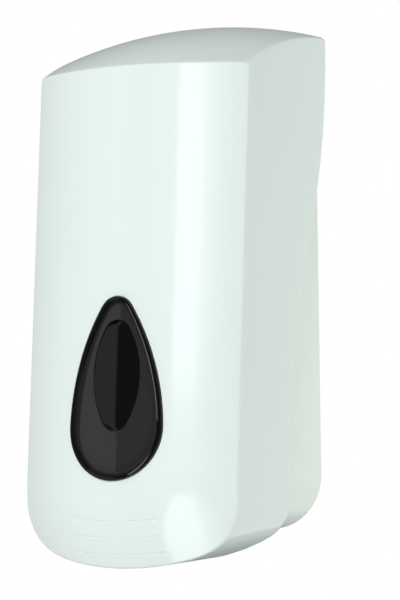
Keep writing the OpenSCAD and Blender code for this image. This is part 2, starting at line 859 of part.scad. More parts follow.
module pump_piston() {
  color("white") translate([0, 0, -pump_drop]) {
    bar_y(-push_back - socket_depth, piston_front + lap, piston_rod_r);
    difference() {
      bar_y(piston_front, piston_rear, piston_r);
      difference() {
        bar_y(ring_y, ring_y + ring_w, piston_r + lap);
        bar_y(ring_y - lap, ring_y + ring_w + lap, piston_r - ring_depth);
      }
    }
    bar_y(piston_rear - lap, piston_rear + spigot_len, spigot_r);
  }
}

module piston_seal() {
  color("dimgray") translate([0, 0, -pump_drop]) difference() {
    bar_y(ring_y + pump_fit, ring_y + ring_w - pump_fit, bore_r - pump_fit);
    bar_y(ring_y, ring_y + ring_w, piston_r - ring_depth + pump_fit);
  }
}

// points of one cross-section of the spring's wire, at a turn in degrees and a place along Y
function wire_ring(turn, y) = [
  for (k = [1:wire_sides]) let (a = 360 * k / wire_sides, r = spring_r + spring_wire_r * cos(a))
    [r * cos(turn), y + spring_wire_r * sin(a), r * sin(turn)]
];

module return_spring() {
  n = wire_sides;
  steps = turn_steps * spring_turns;
  start = piston_rear + 1.2 * spring_wire_r;
  length = bore_end_y - 1.2 * spring_wire_r - start;
  rings = [for (i = [0:steps]) each wire_ring(360 * spring_turns * i / steps, start + length * i / steps)];
  sides = [
    for (i = [0:steps - 1], k = [0:n - 1]) let (next = (k + 1) % n)
      [n * i + k, n * i + next, n * i + n + next, n * i + n + k]
  ];
  ends = [[for (k = [1:n]) n - k], [for (k = [0:n - 1]) n * steps + k]];
  color("slategray") translate([0, 0, -pump_drop]) polyhedron(rings, concat(sides, ends));
}

module push_cap() {
  color("gainsboro") translate([0, 0, -pump_drop]) difference() {
    intersection() {
      bar_y(-far, -push_back, push_r);
      translate([0, push_dome_r - push_tip, 0]) sphere(push_dome_r, $fn = 160);
    }
    bar_y(-push_back - socket_depth - pump_fit, far, piston_rod_r + pump_fit);
  }
}

module outlet_valve() {
  color("lightcoral") translate([0, -port_depth, outlet_foot]) difference() {
    union() {
      translate([0, 0, -valve_flange_t]) cylinder(h = valve_flange_t, r = outlet_r - pump_fit);
      translate([0, 0, -lip_len])
        cylinder(h = lip_len, r1 = nozzle_bore_r - lip_gap - lip_taper, r2 = nozzle_bore_r - lip_gap);
    }
    translate([lip_slot_inset - nozzle_bore_r, -lip_slot_w / 2, -far])
      cube([2 * (nozzle_bore_r - lip_slot_inset), lip_slot_w, far + lap]);
  }
}

module nozzle() {
  top = outlet_foot + nozzle_grip;
  cone = nozzle_step - nozzle_floor;
  color("gainsboro") translate([0, -port_depth, 0]) difference() {
    union() {
      translate([0, 0, cone]) cylinder(h = top - cone, r = nozzle_r);
      translate([0, 0, -nozzle_drop])
        cylinder(h = nozzle_drop + cone, r1 = nozzle_tip_r, r2 = nozzle_r);
    }
    translate([0, 0, nozzle_step]) cylinder(h = far, r = outlet_r + pump_fit);
    translate([0, 0, -nozzle_drop - lap]) cylinder(h = far, r = nozzle_bore_r);
  }
}

// ---------- hinge ----------

module hinge_rod() {
  color("silver") translate([0, -hinge_depth, hinge_height]) difference() {
    bar_x(-rod_half, rod_half, rod_r);
    for (x = [-clip_x - clip_t, clip_x]) translate([x, 0, 0]) difference() {
      bar_x(0, clip_t, rod_r + lap);
      bar_x(-lap, clip_t + lap, groove_r);
    }
  }
}

module rod_clips() {
  color("dimgray")
    for (x = [-clip_x - clip_t, clip_x]) translate([x, -hinge_depth, hinge_height]) difference() {
      bar_x(clip_play, clip_t - clip_play, rod_r + clip_rim);
      bar_x(-lap, clip_t + lap, groove_r + tap_fit);
      translate([-lap, -groove_r * 0.8, -far]) cube([clip_t + 2 * lap, groove_r * 1.6, far]);
    }
}

// ---------- cover ----------

// fine lines in the push area, each an arc that follows the bottom edge
module grip_lines() {
  turn = asin(grip_len / 2 / grip_line_r);
  difference() {
    intersection() {
      through_y(-far / 2, -foot_depth * 2) for (i = [0:grip_count - 1]) {
        r = grip_line_r - (grip_count - 1 - i) * grip_pitch;
        ends = [270 - turn, 270 + turn];
        centre = [0, grip_line_r + grip_rise - cover_drop];
        polygon(concat(
          arc(centre, r + grip_h / 2, ends[0], ends[1], arc_steps),
          arc(centre, r - grip_h / 2, ends[1], ends[0], arc_steps)
        ));
      }
      front_form(far / 40);
    }
    front_form(-grip_cut);
  }
}

// lug that hangs under the crown on the hinge rod
module cover_lug() {
  through_x(0, lug_w) {
    translate([-hinge_depth, hinge_height]) circle(lug_r);
    translate([-hinge_depth - lug_r, hinge_height]) square([2 * lug_r, far]);
  }
}

module front_cover() {
  color("azure") difference() {
    union() {
      difference() {
        intersection() {
          cover_form(0);
          through_x(-far / 2, far / 2) side_outline();
        }
        cover_form(cover_wall);
      }
      // lugs on the hinge rod
      intersection() {
        for (x = [-lug_x - lug_w, lug_x]) translate([x, 0, 0]) cover_lug();
        crown_form(-cover_wall / 2);
      }
      // striker in front of the push cap
      intersection() {
        translate([0, 0, -pump_drop]) bar_y(-far, -push_tip - striker_gap, striker_r);
        front_form(-cover_wall / 2);
      }
      // boss that holds the lock
      intersection() {
        translate([-lock_x, -lock_depth, lock_boss_top - far]) cylinder(h = far, r = lock_boss_r);
        cover_form(cover_wall / 4);
      }
    }
    // window seat and opening
    window_layer(0, window_proud, -window_seat);
    window_layer(window_ledge, window_proud, -cover_wall - window_proud);
    grip_lines();
    for (x = [-lug_x - lug_w - lap, lug_x - lap])
      translate([x, -hinge_depth, hinge_height]) bar_x(0, lug_w + 2 * lap, rod_r + rod_fit);
    // lock pocket and hole
    translate([-lock_x, -lock_depth, lock_seat - far]) cylinder(h = far, r = lock_pocket_r);
    translate([-lock_x, -lock_depth, -far / 2]) cylinder(h = far / 2, r = lock_r + rod_fit);
    // slot that the nozzle stands in
    translate([-slot_half, -slot_front, -cover_drop - lap])
      cube([2 * slot_half, far, lock_shelf]);
  }
}

module window_lens() {
  face = window_proud - window_sink;
  color("dimgray") {
    difference() {
      union() {
        window_layer(window_fit, window_proud, -window_seat);
        window_layer(window_ledge + window_fit, lap - window_seat, -cover_wall - catch_t);
        // catches behind the cover
        intersection() {
          window_layer(window_ledge - catch_t, -cover_wall - catch_gap, -cover_wall - catch_t);
          translate([-far / 2, -far, -window_drop - catch_w / 2]) cube([far, far, catch_w]);
        }
      }
      // face sunk inside the rim, and the hollow behind it
      window_layer(window_rim, window_proud + lap, face);
      window_layer(window_ledge + lens_wall, face - lens_t, -cover_wall - window_proud);
    }
    difference() {
      intersection() {
        translate([0, 0, -pane_drop]) through_y(-far / 2, -cover_depth / 2) oval_outline();
        front_form(face + pane_proud);
      }
      front_form(face - lap);
    }
  }
}

// ---------- lock ----------

module lock_housing() {
  color("silver") translate([-lock_x, -lock_depth, 0]) difference() {
    union() {
      translate([0, 0, lock_seat - lock_flange_t]) cylinder(h = lock_flange_t, r = lock_flange_r);
      translate([0, 0, lock_seat - lap]) cylinder(h = lock_top - lock_seat + lap, r = lock_r);
    }
    translate([0, 0, -far / 2]) cylinder(h = far / 2, r = plug_r + rod_fit);
    translate([0, 0, lock_seat - far]) cylinder(h = far, r = plug_r + plug_rim + rod_fit);
  }
}

module lock_nut() {
  color("silver") translate([-lock_x, -lock_depth, lock_boss_top]) difference() {
    cylinder(h = lock_nut_t, r = lock_nut_r, $fn = 6);
    translate([0, 0, -lap]) cylinder(h = lock_nut_t + 2 * lap, r = lock_r + rod_fit);
  }
}

module lock_plug() {
  low = lock_seat - lock_flange_t;
  color("gainsboro") translate([-lock_x, -lock_depth, 0]) difference() {
    union() {
      translate([0, 0, low]) cylinder(h = plug_top - low, r = plug_r);
      translate([0, 0, low]) cylinder(h = lock_flange_t - plug_play, r = plug_r + plug_rim);
    }
    // key way
    translate([-plug_r * 0.6, -key_w / 2, low - lap]) cube([plug_r * 1.2, key_w, key_depth + lap]);
    translate([0, 0, low + plug_floor]) cylinder(h = far, r = cam_screw_r + tap_fit);
  }
}

module lock_cam() {
  color("darkgray") translate([-lock_x, -lock_depth, plug_top]) difference() {
    union() {
      cylinder(h = cam_t, r = plug_r + plug_rim);
      translate([-cam_w / 2, 0, 0]) cube([cam_w, cam_reach, cam_t]);
    }
    translate([0, 0, -lap]) cylinder(h = far, r = cam_screw_r + tap_fit);
  }
}

module cam_screw() {
  color("gainsboro") translate([-lock_x, -lock_depth, plug_top + cam_t]) difference() {
    union() {
      cylinder(h = cam_head_h, r = cam_head_r);
      translate([0, 0, -cam_screw_len]) cylinder(h = cam_screw_len + lap, r = cam_screw_r);
    }
    for (turn = [0, 90]) rotate([0, 0, turn])
      translate([-cam_screw_r, -slot_w / 2, cam_slot_h]) cube([2 * cam_screw_r, slot_w, far]);
  }
}

back_plate();
pump_bracket();
bracket_screws();
reservoir();
tank_outlet_seal();
tank_outlet_nut();
filler_cap();
filler_cap_seal();
pump_body();
inlet_ball_cage();
inlet_ball();
inlet_valve_seat();
pump_gland();
rod_wiper();
pump_piston();
piston_seal();
return_spring();
push_cap();
outlet_valve();
nozzle();
hinge_rod();
rod_clips();
front_cover();
window_lens();
lock_housing();
lock_nut();
lock_plug();
lock_cam();
cam_screw();
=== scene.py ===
import math

import bmesh
import bpy
from mathutils import Matrix, Vector


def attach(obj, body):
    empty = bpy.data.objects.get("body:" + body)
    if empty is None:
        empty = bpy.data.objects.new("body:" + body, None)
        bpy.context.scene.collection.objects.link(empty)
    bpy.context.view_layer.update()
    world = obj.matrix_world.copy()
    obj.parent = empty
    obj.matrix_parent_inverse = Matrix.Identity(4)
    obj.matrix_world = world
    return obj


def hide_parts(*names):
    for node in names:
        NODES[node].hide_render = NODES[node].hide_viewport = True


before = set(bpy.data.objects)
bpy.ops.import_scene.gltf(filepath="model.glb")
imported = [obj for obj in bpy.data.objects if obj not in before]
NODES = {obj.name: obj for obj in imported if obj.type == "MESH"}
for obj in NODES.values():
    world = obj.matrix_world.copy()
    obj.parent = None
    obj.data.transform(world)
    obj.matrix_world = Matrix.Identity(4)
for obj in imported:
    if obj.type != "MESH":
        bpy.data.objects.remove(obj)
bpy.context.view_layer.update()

bl_info = {
    "name": "Wall mounted soap dispenser",
    "version": (1, 0, 0),
    "blender": (4, 5, 0),
    "location": "3D View > Sidebar > Dispenser",
    "description": "Dresses the solid model of a wall mounted soap dispenser and sets its studio",
    "category": "Object",
}

MM = 0.001

# ---------- sizes of the cover's form, in millimetres ----------

HALF_W = 62.0
COVER_DEPTH = 114.4
FULL_Z = -94.0
FRONT_R = 117.0
FRONT_LEAN = math.radians(3.4)
TUCK_R = 96.0
# corner radius, radius of the bottom edge and its lowest height, at the front and at the rear edge
FRONT_FOOT = (28.0, 170.0, -140.5)
REAR_FOOT = (24.0, 105.0, -137.5)
CROWN_R = 211.0
CROWN_TOP_Z = 144.9
CROWN_TOP_Y = 8.8
CROWN = Vector((0.0, CROWN_TOP_Y, CROWN_TOP_Z - CROWN_R))
EDGE_GAP = 1.5
WAIST_Y = -42.7
WAIST_Z = -72.0
WAIST_R = 212.0
SHOULDER_R = 250.0
EDGE_TILT = math.radians(19.8)
FOOT_Y = -40.0
NAPE_R = 10.0
NAPE_Y = -EDGE_GAP - NAPE_R
NAPE_RISE = 0.5
NAPE_Z = CROWN.z + math.sqrt(CROWN_R**2 - (NAPE_Y - CROWN.y) ** 2) - NAPE_R + NAPE_RISE
WAIST_END = (
    WAIST_Y + WAIST_R * (1 - math.cos(EDGE_TILT)),
    WAIST_Z + WAIST_R * math.sin(EDGE_TILT),
)
SHOULDER_Y = -EDGE_GAP - SHOULDER_R * (1 - math.cos(EDGE_TILT))
SHOULDER_Z = (
    WAIST_END[1]
    + (SHOULDER_Y - WAIST_END[0]) / math.tan(EDGE_TILT)
    + SHOULDER_R * math.sin(EDGE_TILT)
)

GRIP_R = 230.0
GRIP_PITCH = 8.45
GRIP_RADII = [GRIP_R - GRIP_PITCH * k for k in range(3)]
GRIP_Z = 96.6
GRIP_REACH = 24.0
GRIP_TURN = math.asin(GRIP_REACH / GRIP_R)
GRIP_DEPTH = 0.4
GRIP_HALF = 0.4
GRIP_FLOOR = 0.22
# length of a grip line's fading end, and the clear band that it keeps from other rows of the mesh
GRIP_FADE = 0.8
GRIP_CLEAR = 1.1
REAR_EDGE = 0.8
INNER_EDGE = 0.6

WINDOW_Z = -69.5
WINDOW_R = 27.1
WINDOW_TIP_Z = -13.5
WINDOW_TIP_R = 10.0
WINDOW_SIDE_R = 118.0
WINDOW_LEDGE = 3.0
WINDOW_SEAT = 1.0
WINDOW_FIT = 0.15
WINDOW_SINK = 3.0
WINDOW_BANK = 2.3
WINDOW_PLATE = 2.1
PANE_Z = -43.6
PANE_A = 28.0
PANE_B = 13.6
PANE_END_R = 8.2
PANE_SLOPE = 2.4

HINGE_Y = -20.0
HINGE_Z = 133.0
LUG_X = 24.3
LUG_W = 6.0
LUG_R = 4.8
ROD_HOLE_R = 2.05
STRIKER_Z = -105.0
STRIKER_Y = -101.3
STRIKER_R = 8.0
LOCK_X = -31.0
LOCK_Y = -56.0
LOCK_SEAT_Z = -129.5
LOCK_BOSS_Z = -127.0
LOCK_BOSS_R = 12.0
LOCK_POCKET_R = 10.3
LOCK_HOLE_R = 8.05
COVER_WALL = 2.5
CATCH_T = 1.2
LENS_WALL = 2.0
SLOT_HALF = 11.0
SLOT_FRONT = -76.0
SLOT_TOP = -130.0
SLOT_LOW = -150.0

# rows and columns of the cover's mesh: bottom corner, side and crown edge, front, rounded edge and walls
FOOT_STEPS = 14
SIDE_STEPS = 96
SOFT_STEPS = 6
FRONT_COLUMNS = 66
EDGE_STEPS = 5
WALL_STEPS = 26
# points round the cover's window seat and round the window itself
SEAT_POINTS = 160
LENS_POINTS = 144
# how far the cutter of the window seat reaches in front of the cover and behind it
PAST = 8.0

COOL = (0.935, 1.0, 0.98)
# brightness of the surroundings where they light the dispenser
EVEN_TONE = 0.49
# the camera looks from the right and slightly upwards
CAMERA_TURN = math.radians(30.0)
CAMERA_TILT = math.radians(3.2332)
CAMERA_PLACE = Vector((761.19, -1344.82, -87.75))
FLOOR_Z = -1.5
FLOOR_HALF = 5.0

# ---------- settings that a user may change ----------


class DispenserCover(bpy.types.PropertyGroup):
    edge_radius: bpy.props.FloatProperty(
        name="Front edge radius",
        description="Rounding between the cover's front and its sides",
        default=1.3 * MM, min=0.8 * MM, max=3 * MM, unit="LENGTH",
    )
    crown_edge: bpy.props.FloatProperty(
        name="Crown edge radius",
        description="Rounding between the domed crown and the sides",
        default=3.6 * MM, min=3.2 * MM, max=8 * MM, unit="LENGTH",
    )
    wall: bpy.props.FloatProperty(
        name="Wall", description="Wall thickness of the cover",
        default=2.5 * MM, min=2 * MM, max=2.6 * MM, unit="LENGTH",
    )
    colour: bpy.props.FloatVectorProperty(
        name="Colour", description="Colour of the glossy cover",
        default=(0.865, 0.905, 0.893), size=3, min=0, max=1, subtype="COLOR",
    )


class DispenserWindow(bpy.types.PropertyGroup):
    proud: bpy.props.FloatProperty(
        name="Height", description="Height of the window's rim above the cover",
        default=2.3 * MM, min=1.5 * MM, max=2.4 * MM, unit="LENGTH",
    )
    crest: bpy.props.FloatProperty(
        name="Crest", description="Distance of the rim's crest from its outer edge",
        default=2.1 * MM, min=1.5 * MM, max=2.8 * MM, unit="LENGTH",
    )
    pane_proud: bpy.props.FloatProperty(
        name="Pane height", description="Height of the oval pane above the window's face",
        default=2.2 * MM, min=0.3 * MM, max=2.4 * MM, unit="LENGTH",
    )
    colour: bpy.props.FloatVectorProperty(
        name="Colour", description="Colour of the smoked window over its pale backing",
        default=(0.026, 0.025, 0.0245), size=3, min=0, max=1, subtype="COLOR",
    )
    pane_colour: bpy.props.FloatVectorProperty(
        name="Dark colour", description="Colour of the rim and the oval pane, where the window is thick",
        default=(0.0022, 0.002, 0.0018), size=3, min=0, max=1, subtype="COLOR",
    )


class DispenserBody(bpy.types.PropertyGroup):
    tray_colour: bpy.props.FloatVectorProperty(
        name="Tray colour", description="Colour of the wall tray",
        default=(0.90, 0.935, 0.90), size=3, min=0, max=1, subtype="COLOR",
    )
    tank_colour: bpy.props.FloatVectorProperty(
        name="Reservoir colour", description="Colour of the natural polyethylene",
        default=(0.80, 0.83, 0.81), size=3, min=0, max=1, subtype="COLOR",
    )
    cap_colour: bpy.props.FloatVectorProperty(
        name="Cap colour", description="Colour of the filler cap",
        default=(0.17, 0.20, 0.24), size=3, min=0, max=1, subtype="COLOR",
    )
    tray_edge: bpy.props.FloatProperty(
        name="Tray edge radius", description="Rounding along the tray's edges",
        default=0.7 * MM, min=0.2 * MM, max=1 * MM, unit="LENGTH",
    )
    tank_edge: bpy.props.FloatProperty(
        name="Reservoir edge radius", description="Rounding along the reservoir's edges",
        default=4 * MM, min=1 * MM, max=6 * MM, unit="LENGTH",
    )


class DispenserStage(bpy.types.PropertyGroup):
    lens: bpy.props.FloatProperty(
        name="Focal length", description="Focal length of the camera, in millimetres",
        default=173.9, min=50, max=300,
    )
    floor: bpy.props.FloatVectorProperty(
        name="Floor", description="Colour of the plain pale floor",
        default=(0.82, 0.82, 0.82), size=3, min=0, max=1, subtype="COLOR",
    )


# ---------- the cover's surfaces ----------


def mix(a, b, t):
    """Value between two values."""
    return a + (b - a) * t


def smooth(t):
    """Soft step from 0 to 1."""
    t = min(max(t, 0.0), 1.0)
    return t * t * (3 - 2 * t)


def turn_between(a, b, t):
    """Unit vector turned from one direction towards another."""
    angle = a.angle(b)
    if angle < 1e-6:
        return a.copy()
    return (a * math.sin((1 - t) * angle) + b * math.sin(t * angle)) / math.sin(angle)


def front_y(x, z, out=0.0):
    """Depth of the bowed, leaning front at a point, moved outwards by a distance."""
    lean_s, lean_c = math.sin(FRONT_LEAN), math.cos(FRONT_LEAN)
    y = 0.0
    for _ in range(8):
        height = y * lean_s + (z - FULL_Z) * lean_c
        radius = FRONT_R + out
        if height < 0:
            radius = FRONT_R - TUCK_R + math.sqrt(max((TUCK_R + out) ** 2 - height**2, 1.0))
        depth = FRONT_R - math.sqrt(max(radius**2 - x * x, 1.0))
        y = (depth + (z - FULL_Z) * lean_s) / lean_c
    return y - COVER_DEPTH


def front_normal(x, z, out=0.0):
    """Outward direction of the front at a point."""
    step = 0.05
    along_x = (front_y(x + step, z, out) - front_y(x - step, z, out)) / (2 * step)
    along_z = (front_y(x, z + step, out) - front_y(x, z - step, out)) / (2 * step)
    return Vector((along_x, -1.0, along_z)).normalized()


def rear_y(z):
    """Depth of the cover's curved rear edge at a height."""
    if z > NAPE_Z:
        return NAPE_Y + math.sqrt(max(NAPE_R**2 - (z - NAPE_Z) ** 2, 0.0))
    if z > SHOULDER_Z:
        return -EDGE_GAP
    if z > SHOULDER_Z - SHOULDER_R * math.sin(EDGE_TILT):
        turn = math.asin((SHOULDER_Z - z) / SHOULDER_R)
        return -EDGE_GAP - SHOULDER_R * (1 - math.cos(turn))
    if z > WAIST_END[1]:
        return WAIST_END[0] + (z - WAIST_END[1]) * math.tan(EDGE_TILT)
    turn = math.asin((z - WAIST_Z) / WAIST_R)
    y = WAIST_Y + WAIST_R * (1 - math.cos(turn))
    return FOOT_Y if z < WAIST_Z and y > FOOT_Y else y


def outline_point(turn, sizes):
    """Point of a lower outline whose outward direction is turned by an angle from straight down."""
    corner, foot, low = sizes
    reach = foot - corner
    start = math.asin((HALF_W - corner) / reach)
    if turn < start:
        return foot * math.sin(turn), low + foot * (1 - math.cos(turn))
    centre_z = low + foot - reach * math.cos(start)
    return HALF_W - corner + corner * math.sin(turn), centre_z - corner * math.cos(turn)


def foot_point(turn, y):
    """Point and slope per depth of the lower wall, which draws in from the front to the rear edge."""
    length = COVER_DEPTH + FOOT_Y
    share = (y + COVER_DEPTH) / length
    front, rear = outline_point(turn, FRONT_FOOT), outline_point(turn, REAR_FOOT)
    slope = [(b - a) / length if 0 < share < 1 else 0.0 for a, b in zip(front, rear)]
    share = min(max(share, 0.0), 1.0)
    return [mix(a, b, share) for a, b in zip(front, rear)], slope


def foot_z(x, y, inset=0.0):
    """Height of the cover's underside at a place."""
    low, high = 0.0, math.pi / 2
    for _ in range(30):
        mid = (low + high) / 2
        if foot_point(mid, y)[0][0] - inset * math.sin(mid) < abs(x):
            low = mid
        else:
            high = mid
    return foot_point(low, y)[0][1] + inset * math.cos(low)


def crown_z(x, y, inset=0.0):
    """Height of the domed crown at a place."""
    return CROWN.z + math.sqrt((CROWN_R - inset) ** 2 - x * x - (y - CROWN.y) ** 2)


class Rim:
    """One place on the cover's outline, from which its front edge and its wall are swept."""

    def __init__(self, kind, value, side, skin):
        self.kind, self.value, self.side = kind, value, side
        self.inset, self.radius, self.soft = skin
        deep = self.inset + self.radius
        y = -90.0
        for _ in range(12):
            self.centre = self.at(y, deep)[0]
            y += front_y(self.centre.x, self.centre.z, -deep) - self.centre.y
        self.start_y = y
        self.centre, self.outward = self.at(y, deep)
        self.forward = front_normal(self.centre.x, self.centre.z, -deep)
        low, high = y, 6.0
        for _ in range(40):
            mid = (low + high) / 2
            if mid < rear_y(self.at(mid, self.inset)[0].z):
                low = mid
            else:
                high = mid
        self.end_y = low

    def at(self, y, inset):
        """Point and outward direction of the wall at a depth, drawn inwards by an inset."""
        side = self.side
        if self.kind == "foot":
            (x, z), slope = foot_point(self.value, y)
            way = Vector((math.sin(self.value), 0, -math.cos(self.value)))
            lean = -(way.x * slope[0] + way.z * slope[1])
            out = Vector((side * way.x, lean, way.z)).normalized()
            return Vector((side * (x - way.x * inset), y, z - way.z * inset)), out
        soft_x = HALF_W - self.soft
        rise = crown_z(soft_x, y, self.soft)
        if self.kind == "side":
            z = mix(foot_point(math.pi / 2, y)[0][1], rise, self.value)
            return Vector((side * (HALF_W - inset), y, z)), Vector((side, 0, 0))
        ball = Vector((side * soft_x, y, rise))
        dome = (ball - CROWN).normalized()
        if self.kind == "soft":
            way = turn_between(Vector((side, 0, 0)), dome, self.value)
            return ball + way * (self.soft - inset), way
        x = self.value * (CROWN.x + dome.x * CROWN_R)
        y = CROWN.y + dome.y * CROWN_R
        way = Vector((x, y - CROWN.y, 0))
        way.z = math.sqrt(CROWN_R**2 - way.length_squared)
        way.normalize()
        return CROWN + way * (CROWN_R - inset), way

    def edge(self, t):
        """Point on the rounded front edge, from the front at 0 to the wall at 1."""
        return self.centre + turn_between(self.forward, self.outward, t) * self.radius

    def wall(self, t):
        """Point on the wall, from the rounded edge at 0 to the rear edge at 1."""
        start = self.at(self.start_y, self.inset)[0]
        end = self.at(mix(self.start_y, self.end_y, t), self.inset)[0]
        return end + (self.edge(1) - start) * (1 - t) ** 6


def side_rims(skin):
    """Places up the right side of the outline and the sag of the row that ends at each."""
    first = math.asin((HALF_W - FRONT_FOOT[0]) / (FRONT_FOOT[1] - FRONT_FOOT[0]))

    def place(s):
        if s < 1:
            return Rim("foot", mix(first, math.pi / 2, s), 1, skin)
        if s < 2:
            return Rim("side", s - 1, 1, skin)
        return Rim("soft", s - 2, 1, skin)

    def reach(rim):
        point = rim.edge(0)
        return math.hypot(point.x, point.z - GRIP_Z)

    steps = [i / FOOT_STEPS for i in range(FOOT_STEPS)]
    steps += [1 + i / SIDE_STEPS for i in range(SIDE_STEPS)]
    steps += [2 + i / SOFT_STEPS for i in range(SOFT_STEPS + 1)]
    rims = [(s, place(s), None, None) for s in steps]
    marks = [(0.0, foot_sag(rims[0][1], skin))]
    for grip in GRIP_RADII:
        rows = []
        for offset in (GRIP_HALF, GRIP_FLOOR, -GRIP_FLOOR, -GRIP_HALF):
            low, high = 0.0, 1.4
            for _ in range(24):
                mid = (low + high) / 2
                if reach(place(mid)) > grip + offset:
                    low = mid
                else:
                    high = mid
            rim = place(low)
            sag = rim.edge(0).z - (GRIP_Z - grip - offset)
            rows.append((low, rim, grip, sag))
            marks.append((low, sag))
        rims = [r for r in rims if r[0] == 0 or r[2] or abs(reach(r[1]) - grip) > GRIP_CLEAR] + rows
    rims.sort(key=lambda r: r[0])
    marks.sort()
    top_s, top_sag = marks[-1]
    top_z = next(r[1].edge(0).z for r in rims if r[0] == top_s)
    end_z = rims[-1][1].edge(0).z
    crown_sag = end_z - Rim("crown", 0.0, 1, skin).edge(0).z
    result = []
    for s, rim, grip, sag in rims:
        if sag is None and s <= top_s:
            after = next(k for k, m in enumerate(marks) if m[0] >= s)
            (a, low), (b, high) = marks[max(after - 1, 0)], marks[after]
            sag = mix(low, high, (s - a) / (b - a)) if b > a else low
        elif sag is None:
            share = (rim.edge(0).z - top_z) / (end_z - top_z)
            sag = mix(top_sag, 0.0, smooth(share)) + crown_sag * share**3
        floor = grip is not None and abs(reach(rim) - grip) < (GRIP_HALF + GRIP_FLOOR) / 2
        result.append((rim, sag, grip if floor else None))
    return result


def foot_sag(rim, skin):
    """Drop of the bottom row's middle below its end."""
    return rim.edge(0).z - Rim("foot", 0.0, 1, skin).edge(0).z


def cover_skin(skin, grips):
    """Open skin of the cover, from its front over the rounded edge and the walls to the rear edge."""
    columns = FRONT_COLUMNS
    sides = side_rims(skin)
    rows = len(sides) - 1
    first = sides[0][0].value

    def across(kind, i, reach):
        share = mix(-1, 1, i / columns)
        return Rim(kind, abs(share) * reach, -1 if share < 0 else 1, skin)

    bm = bmesh.new()
    bmesh.ops.create_grid(bm, x_segments=columns, y_segments=rows, size=1)
    rims = {}
    for v in bm.verts:
        i, j = round((v.co.x + 1) / 2 * columns), round((v.co.y + 1) / 2 * rows)
        rim, sag, grip = sides[j]
        if j == 0:
            rims[v] = across("foot", i, first)
        elif j == rows:
            rims[v] = across("crown", i, 1.0)
        elif i in (0, columns):
            rims[v] = Rim(rim.kind, rim.value, 1 if i else -1, skin)
        else:
            end = rim.edge(0)
            x = mix(-1, 1, i / columns) * end.x
            if abs(sag) > 0.01:
                bow = (end.x**2 + sag**2) / (2 * sag)
                z = end.z - sag + bow - math.copysign(math.sqrt(bow**2 - x * x), bow)
            else:
                z = end.z
            depth = 0.0
            if grip and grips:
                inside = grip * math.sin(GRIP_TURN) + GRIP_FADE - abs(x)
                depth = GRIP_DEPTH * smooth(inside / (2 * GRIP_FADE))
            v.co = Vector((x, front_y(x, z, -skin[0] - depth), z))
            continue
        v.co = rims[v].edge(0)
    for k in range(1, EDGE_STEPS + WALL_STEPS + 1):
        border = [e for e in bm.edges if e.is_boundary]
        made = bmesh.ops.extrude_edge_only(bm, edges=border)["geom"]
        moved = {}
        for v in [g for g in made if isinstance(g, bmesh.types.BMVert)]:
            rim = rims[next(e.other_vert(v) for e in v.link_edges if e.other_vert(v) in rims)]
            v.co = rim.edge(k / EDGE_STEPS) if k <= EDGE_STEPS else rim.wall((k - EDGE_STEPS) / WALL_STEPS)
            moved[v] = rim
        rims = moved
    bmesh.ops.recalc_face_normals(bm, faces=bm.faces)
    return bm


def cover_shell(settings):
    """Closed shell of the cover: its outer and inner skins joined round the rear edge."""
    wall, radius, soft = settings.wall / MM, settings.edge_radius / MM, settings.crown_edge / MM
    bm = cover_skin((0.0, radius, soft), True)
    rear = [e for e in bm.edges if e.is_boundary]
    inner = cover_skin((wall, INNER_EDGE, soft), False)
    mesh = bpy.data.meshes.new("inner")
    inner.to_mesh(mesh)
    inner.free()
    bm.from_mesh(mesh)
    bpy.data.meshes.remove(mesh)
    bmesh.ops.bridge_loops(bm, edges=[e for e in bm.edges if e.is_boundary])
    bmesh.ops.bevel(bm, geom=rear, offset=REAR_EDGE, offset_type="OFFSET", segments=2, profile=0.5,
                    affect="EDGES", material=-1, clamp_overlap=False)
    bmesh.ops.recalc_face_normals(bm, faces=bm.faces)
    return bm


# ---------- helpers for pieces ----------


def finish_mesh(bm, name, sharp=35.0):
    """Mesh in metres with soft shading, sharp where its faces turn by more than an angle."""
    bmesh.ops.transform(bm, matrix=Matrix.Scale(MM, 4), verts=bm.verts)
    mesh = bpy.data.meshes.new(name)
    bm.to_mesh(mesh)
    bm.free()
    mesh.shade_smooth()
    mesh.set_sharp_from_angle(angle=math.radians(sharp))
    return mesh


def add_piece(name, mesh, body, slot, nodes, *materials):
    """Puts a finished mesh in the scene, on its body and in the place of its solids."""
    piece = bpy.data.objects.new(name, mesh)
    bpy.context.scene.collection.objects.link(piece)
    mesh.materials.clear()
    for material in materials:
        mesh.materials.append(material)
    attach(piece, body)
    if nodes:
        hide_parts(*nodes)
    return piece


def combine(mesh, cutters, operation="DIFFERENCE"):
    """Applies other meshes to a mesh with exact booleans."""
    obj = bpy.data.objects.new("work", mesh)
    bpy.context.scene.collection.objects.link(obj)
    extra = []
    for cutter in cutters:
        tool = bpy.data.objects.new("tool", cutter)
        bpy.context.scene.collection.objects.link(tool)
        modifier = obj.modifiers.new("cut", "BOOLEAN")
        modifier.operation = operation
        modifier.solver = "EXACT"
        modifier.object = tool
        extra.append(tool)
    bpy.context.view_layer.update()
    graph = bpy.context.evaluated_depsgraph_get()
    result = bpy.data.meshes.new_from_object(obj.evaluated_get(graph))
    for item in [obj] + extra:
        old = item.data
        bpy.data.objects.remove(item)
        bpy.data.meshes.remove(old)
    return result


def raw_mesh(bm, name="work"):
    """Mesh of a bmesh whose sizes are in millimetres, in metres."""
    bmesh.ops.recalc_face_normals(bm, faces=bm.faces)
    bmesh.ops.transform(bm, matrix=Matrix.Scale(MM, 4), verts=bm.verts)
    mesh = bpy.data.meshes.new(name)
    bm.to_mesh(mesh)
    bm.free()
    return mesh


def block(low, high):
    """Box between two corners."""
    bm = bmesh.new()
    bmesh.ops.create_cube(bm, size=1)
    for v in bm.verts:
        v.co = Vector([mix(a, b, c + 0.5) for a, b, c in zip(low, high, v.co)])
    return bm


